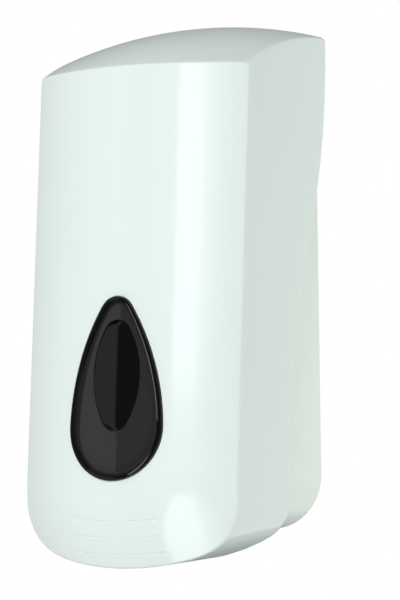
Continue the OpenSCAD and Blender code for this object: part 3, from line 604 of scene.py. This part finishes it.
def lathe(profile, centre, axis="Z", steps=64):
    """Solid turned from a profile of radius and height about an axis through a point."""
    bm = bmesh.new()
    verts = [bm.verts.new((r, 0, h)) for r, h in profile]
    edges = [bm.edges.new((a, b)) for a, b in zip(verts, verts[1:])]
    bmesh.ops.spin(bm, geom=verts + edges, cent=(0, 0, 0), axis=(0, 0, 1), angle=2 * math.pi,
                   steps=steps, use_merge=True)
    bmesh.ops.remove_doubles(bm, verts=bm.verts, dist=1e-4)
    if axis == "Y":
        turn = Matrix.Rotation(math.radians(-90), 3, "X")
        bmesh.ops.rotate(bm, verts=bm.verts, cent=(0, 0, 0), matrix=turn)
    elif axis == "X":
        turn = Matrix.Rotation(math.radians(90), 3, "Y")
        bmesh.ops.rotate(bm, verts=bm.verts, cent=(0, 0, 0), matrix=turn)
    bmesh.ops.translate(bm, verts=bm.verts, vec=Vector(centre))
    bmesh.ops.recalc_face_normals(bm, faces=bm.faces)
    return bm


def egg(low_z, low_r, tip_z, tip_r, side_r, inset, count):
    """Points of an egg-shaped outline, counted round its centre line, drawn inwards by an inset."""
    length = tip_z - low_z
    to_low, to_tip = side_r - low_r, side_r - tip_r
    rise = (to_low**2 - to_tip**2 + length**2) / (2 * length)
    across = math.sqrt(to_low**2 - rise**2)
    start, end = math.atan2(-rise, across), math.atan2(length - rise, across)
    arcs = [
        (-across, low_z + rise, side_r - inset, start, end),
        (0, tip_z, tip_r - inset, end, math.pi - end),
        (across, low_z + rise, side_r - inset, math.pi - end, math.pi - start),
        (0, low_z, low_r - inset, math.pi - start, 2 * math.pi + start),
    ]
    full = sum(r * (b - a) for _, _, r, a, b in arcs)
    points = []
    for x, z, r, a, b in arcs:
        steps = max(4, round(count * r * (b - a) / full))
        points += [(x + r * math.cos(mix(a, b, i / steps)), z + r * math.sin(mix(a, b, i / steps)))
                   for i in range(steps)]
    return points


def window_outline(inset, count=SEAT_POINTS):
    """Egg-shaped outline of the window."""
    return egg(WINDOW_Z, WINDOW_R, WINDOW_TIP_Z, WINDOW_TIP_R, WINDOW_SIDE_R, inset, count)


def pane_outline(inset, count=SEAT_POINTS):
    """Pointed oval outline of the raised pane."""
    end = PANE_A - PANE_END_R
    side_r = (end**2 + PANE_B**2 - PANE_END_R**2) / (2 * (PANE_B - PANE_END_R))
    return egg(PANE_Z - end, PANE_END_R, PANE_Z + end, PANE_END_R, side_r, inset, count)


def by_angle(points, centre_z, count):
    """Outline sampled at even angles about a point on the centre line."""
    full = 2 * math.pi
    around = sorted((math.atan2(z - centre_z, x) % full, math.hypot(x, z - centre_z)) for x, z in points)
    around = [(a - full, r) for a, r in around[-2:]] + around + [(a + full, r) for a, r in around[:2]]
    result = []
    k = 0
    for i in range(count):
        angle = 2 * math.pi * i / count
        while around[k + 1][0] < angle:
            k += 1
        (a, r), (b, q) = around[k], around[k + 1]
        reach = mix(r, q, (angle - a) / (b - a))
        result.append((reach * math.cos(angle), centre_z + reach * math.sin(angle)))
    return result


def sweep_loops(bm, loops, cap_start=True, cap_end=True):
    """Skin through closed loops of points, each with as many points as the next."""
    rings = []
    for loop in loops:
        rings.append([bm.verts.new(p) for p in loop])
    edges = []
    for ring in rings:
        edges.append([bm.edges.new((a, b)) for a, b in zip(ring, ring[1:] + ring[:1])])
    for a, b in zip(edges, edges[1:]):
        bmesh.ops.bridge_loops(bm, edges=a + b)
    if cap_start:
        bmesh.ops.contextual_create(bm, geom=edges[0])
    if cap_end:
        bmesh.ops.contextual_create(bm, geom=edges[-1])
    return rings


def on_front(points, out):
    """Points of an outline laid on the front, moved outwards by a distance."""
    return [(x, front_y(x, z, out), z) for x, z in points]


# ---------- materials ----------


def link(tree, a, a_socket, b, b_socket):
    """Joins one node's output to another's input."""
    tree.links.new(a.outputs[a_socket], b.inputs[b_socket])


def new_material(name):
    """Material with its node tree, its shader and a source of coordinates."""
    material = bpy.data.materials.new(name)
    material.use_nodes = True
    tree = material.node_tree
    shader = tree.nodes["Principled BSDF"]
    coords = tree.nodes.new("ShaderNodeTexCoord")
    return material, tree, shader, coords


def noise(tree, coords, scale, detail=3.0, roughness=0.55):
    """Noise that is fixed to the object."""
    node = tree.nodes.new("ShaderNodeTexNoise")
    node.inputs["Scale"].default_value = scale
    node.inputs["Detail"].default_value = detail
    node.inputs["Roughness"].default_value = roughness
    link(tree, coords, "Object", node, "Vector")
    return node


def span(tree, source, socket, low, high):
    """Maps a texture's middle range onto a range of values."""
    node = tree.nodes.new("ShaderNodeMapRange")
    node.inputs["From Min"].default_value = 0.3
    node.inputs["From Max"].default_value = 0.7
    node.inputs["To Min"].default_value = low
    node.inputs["To Max"].default_value = high
    link(tree, source, socket, node, "Value")
    return node


def tint(tree, source, socket, dark, light):
    """Colour that varies between two tones with a texture."""
    node = tree.nodes.new("ShaderNodeMix")
    node.data_type = "RGBA"
    node.inputs["A"].default_value = (*dark, 1)
    node.inputs["B"].default_value = (*light, 1)
    link(tree, source, socket, node, "Factor")
    return node


def shade(colour, factor):
    """Colour made darker or lighter by a factor."""
    return [min(max(c * factor, 0.0), 1.0) for c in colour]


def moulded(name, colour, rough, vary=0.02, bump=0.04, grain=900.0, coat=0.0, specular=0.5, wear=0.25):
    """Moulded plastic: slight clouding, faint flow marks, fine surface texture and handling wear."""
    material, tree, shader, coords = new_material(name)
    cloud = noise(tree, coords, 14.0, 4.0)
    tone = span(tree, cloud, "Fac", 0.0, 1.0)
    colours = tint(tree, tone, "Result", shade(colour, 1 - vary), shade(colour, 1 + vary * 0.4))
    edges = tree.nodes.new("ShaderNodeNewGeometry")
    rub = tree.nodes.new("ShaderNodeMapRange")
    rub.inputs["From Min"].default_value = 0.53
    rub.inputs["From Max"].default_value = 0.62
    rub.inputs["To Max"].default_value = wear
    link(tree, edges, "Pointiness", rub, "Value")
    worn = tree.nodes.new("ShaderNodeMix")
    worn.data_type = "RGBA"
    link(tree, colours, "Result", worn, "A")
    worn.inputs["B"].default_value = (*shade(colour, 1.06), 1)
    link(tree, rub, "Result", worn, "Factor")
    tree.links.new(worn.outputs["Result"], shader.inputs["Base Color"])
    smear = noise(tree, coords, 38.0, 5.0, 0.7)
    gloss = span(tree, smear, "Fac", rough * 0.85, rough * 1.2)
    link(tree, gloss, "Result", shader, "Roughness")
    fine = noise(tree, coords, grain, 2.0)
    relief = tree.nodes.new("ShaderNodeBump")
    relief.inputs["Strength"].default_value = bump
    relief.inputs["Distance"].default_value = 0.00005
    link(tree, fine, "Fac", relief, "Height")
    link(tree, relief, "Normal", shader, "Normal")
    shader.inputs["IOR"].default_value = 1.5
    shader.inputs["Specular IOR Level"].default_value = specular
    shader.inputs["Coat Weight"].default_value = coat
    shader.inputs["Coat Roughness"].default_value = 0.03
    return material


def crevice_shaded(name, colour, rough, vary, bump, grain, reach=0.0035, depth=0.86):
    """Moulded plastic with painted shade: its colour is darkened where another part stands close over it."""
    material = moulded(name, colour, rough, vary, bump, grain)
    tree = material.node_tree
    shader = tree.nodes["Principled BSDF"]
    worn = shader.inputs["Base Color"].links[0].from_socket
    # painted shade: where ambient occlusion finds another part within reach, the base colour is scaled down
    # towards depth, standing in for the shade in the gap between cover and tray
    crevice_occlusion = tree.nodes.new("ShaderNodeAmbientOcclusion")
    crevice_occlusion.samples = 8
    crevice_occlusion.inputs["Distance"].default_value = reach
    shade_amount = tree.nodes.new("ShaderNodeMapRange")
    shade_amount.inputs["From Min"].default_value = 0.45
    shade_amount.inputs["From Max"].default_value = 0.9
    shade_amount.inputs["To Min"].default_value = depth
    link(tree, crevice_occlusion, "AO", shade_amount, "Value")
    shaded_colour = tree.nodes.new("ShaderNodeVectorMath")
    shaded_colour.operation = "SCALE"
    tree.links.new(worn, shaded_colour.inputs["Vector"])
    link(tree, shade_amount, "Result", shaded_colour, "Scale")
    tree.links.new(shaded_colour.outputs["Vector"], shader.inputs["Base Color"])
    return material


def smoked(name, pale, dark):
    """Smoked acrylic, paler where its face lies over the backing and black where it is thick."""
    material = moulded(name, pale, 0.02, 0.05, 0.004, 300.0, wear=0.05)
    tree = material.node_tree
    shader = tree.nodes["Principled BSDF"]
    worn = shader.inputs["Base Color"].links[0].from_socket
    over = tree.nodes.new("ShaderNodeAttribute")
    over.attribute_name = "backing"
    depth = tree.nodes.new("ShaderNodeMix")
    depth.data_type = "RGBA"
    depth.inputs["A"].default_value = (*dark, 1)
    link(tree, over, "Fac", depth, "Factor")
    tree.links.new(worn, depth.inputs["B"])
    tree.links.new(depth.outputs["Result"], shader.inputs["Base Color"])
    return material


def metal(name, colour, rough, brushed=(1.0, 1.0, 1.0), bump=0.1):
    """Worked metal: directional brushing, slight tarnish and small scratches."""
    material, tree, shader, coords = new_material(name)
    place = tree.nodes.new("ShaderNodeMapping")
    place.inputs["Scale"].default_value = brushed
    link(tree, coords, "Object", place, "Vector")
    grain = tree.nodes.new("ShaderNodeTexNoise")
    grain.inputs["Scale"].default_value = 900.0
    grain.inputs["Detail"].default_value = 3.0
    link(tree, place, "Vector", grain, "Vector")
    cloud = noise(tree, coords, 60.0, 4.0)
    tone = span(tree, cloud, "Fac", 0.0, 1.0)
    colours = tint(tree, tone, "Result", shade(colour, 0.86), colour)
    tree.links.new(colours.outputs["Result"], shader.inputs["Base Color"])
    gloss = span(tree, grain, "Fac", rough * 0.8, rough * 1.3)
    link(tree, gloss, "Result", shader, "Roughness")
    relief = tree.nodes.new("ShaderNodeBump")
    relief.inputs["Strength"].default_value = bump
    relief.inputs["Distance"].default_value = 0.00004
    link(tree, grain, "Fac", relief, "Height")
    link(tree, relief, "Normal", shader, "Normal")
    shader.inputs["Metallic"].default_value = 1.0
    return material


def soft_rubber(name, colour, rough):
    """Moulded rubber: matte, dusty and finely textured."""
    material, tree, shader, coords = new_material(name)
    dust = noise(tree, coords, 120.0, 5.0)
    tone = span(tree, dust, "Fac", 0.0, 1.0)
    colours = tint(tree, tone, "Result", colour, shade(colour, 1.5))
    tree.links.new(colours.outputs["Result"], shader.inputs["Base Color"])
    gloss = span(tree, dust, "Fac", rough * 0.9, rough * 1.1)
    link(tree, gloss, "Result", shader, "Roughness")
    fine = noise(tree, coords, 1600.0, 2.0)
    relief = tree.nodes.new("ShaderNodeBump")
    relief.inputs["Strength"].default_value = 0.2
    relief.inputs["Distance"].default_value = 0.0001
    link(tree, fine, "Fac", relief, "Height")
    link(tree, relief, "Normal", shader, "Normal")
    return material


def finish(name):
    """Material by its name, made on first use."""
    found = bpy.data.materials.get(name)
    if found:
        return found
    scene = bpy.context.scene
    cover, window, body = scene.dispenser_cover, scene.dispenser_window, scene.dispenser_body
    makers = {
        "cover_gloss": lambda: moulded(name, cover.colour, 0.11, 0.008, 0.02, 700.0),
        # the tray's colour carries painted shade in the gap under the cover's rear edge
        "tray_satin": lambda: crevice_shaded(name, body.tray_colour, 0.22, 0.012, 0.05, 900.0),
        "smoked_window": lambda: smoked(name, window.colour, window.pane_colour),
        "tank_natural": lambda: moulded(name, body.tank_colour, 0.42, 0.03, 0.25, 260.0),
        "pump_natural": lambda: moulded(name, (0.78, 0.80, 0.80), 0.34, 0.03, 0.12, 700.0),
        "cap_blue_grey": lambda: moulded(name, body.cap_colour, 0.38, 0.06, 0.2, 800.0),
        "seal_black": lambda: soft_rubber(name, (0.018, 0.018, 0.02), 0.7),
        "valve_clear": lambda: soft_rubber(name, (0.62, 0.60, 0.56), 0.45),
        "steel_sheet": lambda: metal(name, (0.60, 0.60, 0.59), 0.3, (1.0, 1.0, 24.0)),
        "steel_drawn": lambda: metal(name, (0.64, 0.64, 0.63), 0.22, (30.0, 1.0, 1.0)),
        "nickel": lambda: metal(name, (0.70, 0.69, 0.66), 0.14, (1.0, 1.0, 1.0), 0.05),
    }
    return makers[name]()


def dress(node, name):
    """Gives a solid that stays in view its finish."""
    obj = NODES[node]
    obj.data.materials.clear()
    obj.data.materials.append(finish(name))


# ---------- operators ----------


class DISPENSER_OT_cover(bpy.types.Operator):
    """Model the glossy front cover with its rounded edges, grip lines and inner fittings"""

    bl_idname = "dispenser.cover"
    bl_label = "Front cover"

    def execute(self, context):
        cover = context.scene.dispenser_cover
        wall = cover.wall / MM
        shell = raw_mesh(cover_shell(cover))
        added = [self.lug(side, wall) for side in (-1, 1)] + [self.striker(wall), self.lock_boss(wall)]
        shell = combine(shell, [raw_mesh(bm) for bm in added], "UNION")
        seat = bmesh.new()
        steps = ((0, PAST), (0, -WINDOW_SEAT), (WINDOW_LEDGE, -WINDOW_SEAT), (WINDOW_LEDGE, -PAST))
        sweep_loops(seat, [on_front(by_angle(window_outline(inset), PANE_Z, SEAT_POINTS), out)
                           for inset, out in steps])
        slot = block((-SLOT_HALF, SLOT_FRONT, SLOT_LOW), (SLOT_HALF, 0, SLOT_TOP))
        lock = lathe([(0, -30), (LOCK_POCKET_R, -30), (LOCK_POCKET_R, 0), (LOCK_HOLE_R, 0), (LOCK_HOLE_R, 12),
                      (0, 12)], (LOCK_X, LOCK_Y, LOCK_SEAT_Z))
        holes = [lathe([(0, -4), (ROD_HOLE_R, -4), (ROD_HOLE_R, 4), (0, 4)],
                       (side * (LUG_X + LUG_W / 2), HINGE_Y, HINGE_Z), "X", 32) for side in (-1, 1)]
        mesh = combine(shell, [raw_mesh(bm) for bm in [seat, slot, lock] + holes])
        mesh.shade_smooth()
        mesh.set_sharp_from_angle(angle=math.radians(40))
        add_piece("cover_shell", mesh, "cover", "cover_plastic", ["front_cover"], finish("cover_gloss"))
        return {"FINISHED"}

    def lug(self, side, wall):
        """Lug that hangs under the crown on the hinge rod."""
        bm = bmesh.new()
        bmesh.ops.create_circle(bm, segments=48, radius=LUG_R, cap_ends=True)
        bmesh.ops.rotate(bm, verts=bm.verts, matrix=Matrix.Rotation(math.radians(90), 3, "Y"))
        bmesh.ops.translate(bm, verts=bm.verts, vec=(side * LUG_X, HINGE_Y, HINGE_Z))
        made = bmesh.ops.extrude_face_region(bm, geom=bm.faces[:])["geom"]
        far_side = [g for g in made if isinstance(g, bmesh.types.BMVert)]
        bmesh.ops.translate(bm, verts=far_side, vec=(side * LUG_W, 0, 0))
        for v in bm.verts:
            if v.co.z > HINGE_Z + 0.01:
                v.co.z = crown_z(v.co.x, v.co.y, wall / 2)
        return bm

    def striker(self, wall):
        """Round striker behind the front, which presses the pump."""
        bm = lathe([(0, 0), (STRIKER_R - 0.6, 0), (STRIKER_R, -0.6), (STRIKER_R, -6), (0, -6)],
                   (0, STRIKER_Y, STRIKER_Z), "Y", 48)
        for v in bm.verts:
            if v.co.y < STRIKER_Y - 1:
                v.co.y = front_y(v.co.x, v.co.z, -wall / 2)
        return bm

    def lock_boss(self, wall):
        """Boss round the lock in the underside."""
        bm = lathe([(0, -6), (LOCK_BOSS_R, -6), (LOCK_BOSS_R, -0.4), (LOCK_BOSS_R - 0.4, 0), (0, 0)],
                   (LOCK_X, LOCK_Y, LOCK_BOSS_Z), "Z", 64)
        for v in bm.verts:
            if v.co.z < LOCK_BOSS_Z - 3:
                v.co.z = foot_z(v.co.x, v.co.y, wall / 4)
        return bm


class DISPENSER_OT_window(bpy.types.Operator):
    """Model the smoked, drop-shaped window with its raised oval pane"""

    bl_idname = "dispenser.window"
    bl_label = "Window"

    def execute(self, context):
        window = context.scene.dispenser_window
        proud, crest, pane = window.proud / MM, window.crest / MM, window.pane_proud / MM
        face = proud - WINDOW_SINK
        loops, backing = [], []

        def ring(points, out, pale=0.0):
            loops.append(on_front(by_angle(points, PANE_Z, LENS_POINTS), out))
            backing.append(pale)

        # foot in the seat, outer side, round crest, curved inner side
        ring(window_outline(WINDOW_LEDGE + WINDOW_FIT), -COVER_WALL - CATCH_T)
        ring(window_outline(WINDOW_LEDGE + WINDOW_FIT), -WINDOW_SEAT + 0.05)
        ring(window_outline(WINDOW_FIT), -WINDOW_SEAT + 0.05)
        ring(window_outline(WINDOW_FIT), 0.0)
        for k in range(9):
            turn = math.pi / 2 * k / 8
            ring(window_outline(WINDOW_FIT + (crest - WINDOW_FIT) * (1 - math.cos(turn))),
                 proud * mix(0.12, 1, math.sin(turn)))
        for k in range(1, 11):
            t = k / 10
            ring(window_outline(crest + WINDOW_BANK * t), proud - WINDOW_SINK * smooth(t),
                 0.8 * smooth(t * 1.3 - 0.2))
        # flat face, then the sloping side and the top of the oval
        inner = by_angle(window_outline(crest + WINDOW_BANK), PANE_Z, LENS_POINTS)
        oval = by_angle(pane_outline(0), PANE_Z, LENS_POINTS)
        for k in range(1, 12):
            t = k / 12
            points = [(mix(a[0], b[0], t), mix(a[1], b[1], t)) for a, b in zip(inner, oval)]
            loops.append(on_front(points, face))
            backing.append(mix(0.8, 1.0, min(t * 4, 1)))
        ring(pane_outline(-0.12), face, 1.0)
        ring(pane_outline(0.0), face + 0.02)
        for share in (0.5, 1.0):
            ring(pane_outline(PANE_SLOPE * share), face + pane * share)
        top = by_angle(pane_outline(PANE_SLOPE), PANE_Z, LENS_POINTS)
        for k in range(1, 8):
            left = 1 - k / 8
            loops.append(on_front([(x * left, PANE_Z + (z - PANE_Z) * left) for x, z in top], face + pane))
            backing.append(0.0)
        bm = bmesh.new()
        layer = bm.verts.layers.float.new("backing")
        rings = sweep_loops(bm, loops, cap_start=False, cap_end=False)
        for verts, pale in zip(rings, backing):
            for v in verts:
                v[layer] = pale
        pole = bmesh.ops.extrude_edge_only(
            bm, edges=[e for e in bm.edges if e.is_boundary and e.verts[0] in rings[-1]])["geom"]
        pole = [g for g in pole if isinstance(g, bmesh.types.BMVert)]
        bmesh.ops.pointmerge(bm, verts=pole, merge_co=(0, front_y(0, PANE_Z, face + pane), PANE_Z))
        # hollow behind the plate
        wall = by_angle(window_outline(WINDOW_LEDGE + LENS_WALL), PANE_Z, LENS_POINTS)
        steps = [(1.0, -COVER_WALL - CATCH_T)]
        steps += [(t, face - WINDOW_PLATE) for t in (1.0, 0.75, 0.5, 0.25, 0.08)]
        back = [on_front([(x * t, PANE_Z + (z - PANE_Z) * t) for x, z in wall], out) for t, out in steps]
        inside = sweep_loops(bm, back, cap_start=False, cap_end=True)
        first = [e for e in bm.edges if e.is_boundary and e.verts[0] in rings[0]]
        last = [e for e in bm.edges if e.is_boundary and e.verts[0] in inside[0]]
        bmesh.ops.bridge_loops(bm, edges=first + last)
        bmesh.ops.recalc_face_normals(bm, faces=bm.faces)
        mesh = finish_mesh(bm, "window_glass", 18)
        add_piece("window_glass", mesh, "cover", "window_smoke", ["window_lens"], finish("smoked_window"))
        return {"FINISHED"}


class DISPENSER_OT_body(bpy.types.Operator):
    """Round the edges of the wall tray and the reservoir"""

    bl_idname = "dispenser.body"
    bl_label = "Wall tray and reservoir"

    def execute(self, context):
        body = context.scene.dispenser_body
        self.soften("back_plate", "tray_shell", "wall_unit", "tray_plastic", "tray_satin", body.tray_edge)
        self.soften("reservoir", "tank_shell", "wall_unit", "tank_plastic", "tank_natural", body.tank_edge)
        return {"FINISHED"}

    def soften(self, node, name, body, slot, material, width):
        """Copy of a solid with its edges rounded."""
        bm = bmesh.new()
        bm.from_mesh(NODES[node].data)
        bmesh.ops.transform(bm, matrix=NODES[node].matrix_world, verts=bm.verts)
        bmesh.ops.remove_doubles(bm, verts=bm.verts, dist=2e-6)
        bmesh.ops.dissolve_limit(bm, angle_limit=math.radians(1.5), verts=bm.verts, edges=bm.edges,
                                 use_dissolve_boundaries=False, delimit=set())
        edges = [e for e in bm.edges if e.is_manifold and e.calc_face_angle() > math.radians(35)]
        bmesh.ops.bevel(bm, geom=edges, offset=width, offset_type="OFFSET", segments=2, profile=0.5,
                        affect="EDGES", material=-1, clamp_overlap=True)
        bmesh.ops.recalc_face_normals(bm, faces=bm.faces)
        mesh = bpy.data.meshes.new(name)
        bm.to_mesh(mesh)
        bm.free()
        mesh.shade_smooth()
        mesh.set_sharp_from_angle(angle=math.radians(30))
        piece = add_piece(name, mesh, body, slot, [node], finish(material))
        even = piece.modifiers.new("even_shade", "WEIGHTED_NORMAL")
        even.keep_sharp = True
        even.weight = 100


class DISPENSER_OT_finishes(bpy.types.Operator):
    """Give the filler cap, the pump, the hinge, the lock, the seals and the screws their finishes"""

    bl_idname = "dispenser.finishes"
    bl_label = "Finishes"

    def execute(self, context):
        groups = {
            "cap_blue_grey": ["filler_cap"],
            "pump_natural": ["tank_outlet_nut", "pump_body", "pump_gland", "pump_piston", "push_cap",
                             "nozzle", "inlet_ball_cage", "inlet_valve_seat"],
            "seal_black": ["tank_outlet_seal", "filler_cap_seal", "rod_wiper", "piston_seal"],
            "valve_clear": ["outlet_valve"],
            "steel_sheet": ["pump_bracket", "rod_clips", "lock_cam"],
            "steel_drawn": ["hinge_rod", "return_spring", "bracket_screws", "cam_screw", "inlet_ball"],
            "nickel": ["lock_housing", "lock_nut", "lock_plug"],
        }
        for name, nodes in groups.items():
            for node in nodes:
                dress(node, name)
        return {"FINISHED"}


class DISPENSER_OT_stage(bpy.types.Operator):
    """Set the plain floor, the soft lights and the camera"""

    bl_idname = "dispenser.stage"
    bl_label = "Stage"

    def execute(self, context):
        stage = context.scene.dispenser_stage
        camera = bpy.data.cameras.new("camera")
        camera.sensor_width = 36.0
        camera.lens = stage.lens
        camera.clip_end = 20.0
        eye = bpy.data.objects.new("camera", camera)
        context.scene.collection.objects.link(eye)
        level = math.cos(CAMERA_TILT)
        across, away = -math.sin(CAMERA_TURN) * level, math.cos(CAMERA_TURN) * level
        forward = Vector((across, away, math.sin(CAMERA_TILT)))
        right = forward.cross(Vector((0, 0, 1))).normalized()
        up = right.cross(forward)
        turn = Matrix((right, up, -forward)).transposed().to_4x4()
        eye.matrix_world = Matrix.Translation(CAMERA_PLACE * MM) @ turn
        context.scene.camera = eye
        self.floor(context, stage)
        self.light(context)
        return {"FINISHED"}

    def floor(self, context, stage):
        """Plain pale floor, well below the dispenser, which lights it but isn't mirrored in it."""
        bm = bmesh.new()
        bmesh.ops.create_grid(bm, x_segments=2, y_segments=2, size=FLOOR_HALF)
        bmesh.ops.translate(bm, verts=bm.verts, vec=(0, 0, FLOOR_Z))
        mesh = bpy.data.meshes.new("floor")
        bm.to_mesh(mesh)
        bm.free()
        floor = bpy.data.objects.new("floor", mesh)
        context.scene.collection.objects.link(floor)
        material, tree, shader, coords = new_material("floor_pale")
        grain = noise(tree, coords, 3.0)
        tone = span(tree, grain, "Fac", 0.0, 1.0)
        colours = tint(tree, tone, "Result", shade(stage.floor, 0.98), stage.floor)
        tree.links.new(colours.outputs["Result"], shader.inputs["Base Color"])
        shader.inputs["Roughness"].default_value = 0.9
        mesh.materials.append(material)
        floor.visible_glossy = False

    def light(self, context):
        """Surroundings and soft boxes."""
        self.surround(context)
        self.boxes(context)

    def surround(self, context):
        """White behind the dispenser, one even tone to light it and a band of tones to be mirrored in it."""
        world = bpy.data.worlds.new("studio")
        context.scene.world = world
        world.use_nodes = True
        tree = world.node_tree
        back = tree.nodes["Background"]
        coords = tree.nodes.new("ShaderNodeTexCoord")
        parts = tree.nodes.new("ShaderNodeSeparateXYZ")
        link(tree, coords, "Generated", parts, "Vector")
        front = tree.nodes.new("ShaderNodeMath")
        front.operation = "MULTIPLY"
        front.inputs[1].default_value = -1.0
        link(tree, parts, "Y", front, 0)
        around = tree.nodes.new("ShaderNodeMath")
        around.operation = "ARCTAN2"
        link(tree, parts, "X", around, 0)
        tree.links.new(front.outputs[0], around.inputs[1])
        ramp = tree.nodes.new("ShaderNodeMapRange")
        ramp.inputs["From Min"].default_value = -math.pi
        ramp.inputs["From Max"].default_value = math.pi
        tree.links.new(around.outputs[0], ramp.inputs["Value"])
        tones = tree.nodes.new("ShaderNodeValToRGB")
        # degrees round from the front towards the right, brightness, share of blue
        stops = [
            (-180, 0.3, 0.97), (-120, 0.12, 0.98), (-80, 0.2, 0.98), (-60, 0.44, 0.98), (-30.4, 0.48, 0.98),
            (-29.6, 0.08, 0.98), (9, 0.08, 0.98), (60, 0.1, 0.96), (100, 0.25, 0.93), (180, 0.3, 0.93),
        ]
        elements = tones.color_ramp.elements
        for k, (angle, value, blue) in enumerate(stops):
            spot = (angle + 180) / 360
            item = elements[k] if k < 1 else elements.new(spot)
            item.position = spot
            item.color = (value * COOL[0], value, value * blue, 1)
        if len(elements) > len(stops):
            elements.remove(elements[len(stops)])
        tree.links.new(ramp.outputs["Result"], tones.inputs["Fac"])
        path = tree.nodes.new("ShaderNodeLightPath")
        even = tree.nodes.new("ShaderNodeMix")
        even.data_type = "RGBA"
        tree.links.new(path.outputs["Is Glossy Ray"], even.inputs["Factor"])
        even.inputs["A"].default_value = (*[EVEN_TONE * part for part in COOL], 1)
        tree.links.new(tones.outputs["Color"], even.inputs["B"])
        choose = tree.nodes.new("ShaderNodeMix")
        choose.data_type = "RGBA"
        tree.links.new(path.outputs["Is Camera Ray"], choose.inputs["Factor"])
        tree.links.new(even.outputs["Result"], choose.inputs["A"])
        choose.inputs["B"].default_value = (1, 1, 1, 1)
        tree.links.new(choose.outputs["Result"], back.inputs["Color"])
        back.inputs["Strength"].default_value = 1.0
        context.scene.view_settings.view_transform = "Standard"

    def boxes(self, context):
        """Soft boxes, most of which either light the dispenser or are mirrored in it."""
        # degrees to the right and up, distance, width, height, radiance, blue, shape, mirrored, lighting
        boxes = (
            ("upper_box", 9.0, 20.5, 2.0, 0.60, 1.06, 3.1, 0.98, "RECTANGLE", False, True),
            ("stripe_core", 6.7, 20.5, 2.0, 0.44, 1.06, 2.0, 0.98, "RECTANGLE", True, False),
            ("stripe_fade", 10.2, 20.5, 2.0, 0.68, 1.06, 0.7, 0.98, "RECTANGLE", True, False),
            ("stripe_wide", 13.6, 20.5, 2.0, 0.92, 1.06, 0.5, 0.98, "RECTANGLE", True, False),
            ("arch_core", 7.0, -31.0, 1.6, 0.54, 1.42, 1.7, 0.98, "ELLIPSE", True, False),
            ("arch_fade", 11.0, -31.0, 1.6, 0.78, 1.42, 0.9, 0.98, "ELLIPSE", True, False),
            ("front_box", 2.0, 4.0, 2.4, 1.3, 1.3, 4.2, 0.98, "RECTANGLE", False, True),
            ("side_box", 128.0, -8.0, 1.0, 0.5, 0.5, 4.9, 0.92, "RECTANGLE", False, True),
            ("crown_box", -148.0, 32.0, 2.0, 2.6, 1.6, 0.14, 0.98, "RECTANGLE", True, False),
            ("foot_box", 75.0, -48.0, 0.42, 0.3, 0.3, 0.12, 0.95, "RECTANGLE", False, True),
        )
        for name, turn, rise, distance, width, height, radiance, blue, shape, mirrored, lighting in boxes:
            lamp = bpy.data.lights.new(name, "AREA")
            lamp.shape = shape
            lamp.size, lamp.size_y = width, height
            lamp.energy = radiance * math.pi * width * height
            lamp.color = (COOL[0], COOL[1], blue)
            box = bpy.data.objects.new(name, lamp)
            context.scene.collection.objects.link(box)
            a, e = math.radians(turn), math.radians(rise)
            way = Vector((math.sin(a) * math.cos(e), -math.cos(a) * math.cos(e), math.sin(e)))
            box.location = way * distance
            box.rotation_mode = "QUATERNION"
            box.rotation_quaternion = way.to_track_quat("Z", "Y")
            box.visible_camera = False
            box.visible_glossy = mirrored
            box.visible_diffuse = lighting


class DISPENSER_PT_panel(bpy.types.Panel):
    """Sizes, colours and steps of the dispenser"""

    bl_label = "Soap dispenser"
    bl_idname = "DISPENSER_PT_panel"
    bl_space_type = "VIEW_3D"
    bl_region_type = "UI"
    bl_category = "Dispenser"

    def draw(self, context):
        scene = context.scene
        for name, _ in GROUPS:
            group = getattr(scene, name)
            box = self.layout.box()
            for setting in group.__annotations__:
                box.prop(group, setting)
        for step in STEPS:
            self.layout.operator(step.bl_idname)


GROUPS = (
    ("dispenser_cover", DispenserCover),
    ("dispenser_window", DispenserWindow),
    ("dispenser_body", DispenserBody),
    ("dispenser_stage", DispenserStage),
)
STEPS = (
    DISPENSER_OT_stage,
    DISPENSER_OT_cover,
    DISPENSER_OT_window,
    DISPENSER_OT_body,
    DISPENSER_OT_finishes,
)


def register():
    """Makes the settings, the steps and the panel known."""
    for name, group in GROUPS:
        bpy.utils.register_class(group)
        setattr(bpy.types.Scene, name, bpy.props.PointerProperty(type=group))
    for step in STEPS + (DISPENSER_PT_panel,):
        bpy.utils.register_class(step)


def unregister():
    """Takes them away again."""
    for step in reversed(STEPS + (DISPENSER_PT_panel,)):
        bpy.utils.unregister_class(step)
    for name, group in reversed(GROUPS):
        delattr(bpy.types.Scene, name)
        bpy.utils.unregister_class(group)


def main():
    """Builds the dressed dispenser."""
    register()
    bpy.ops.dispenser.stage()
    bpy.ops.dispenser.cover()
    bpy.ops.dispenser.window()
    bpy.ops.dispenser.body()
    bpy.ops.dispenser.finishes()


if __name__ == "__main__":
    main()
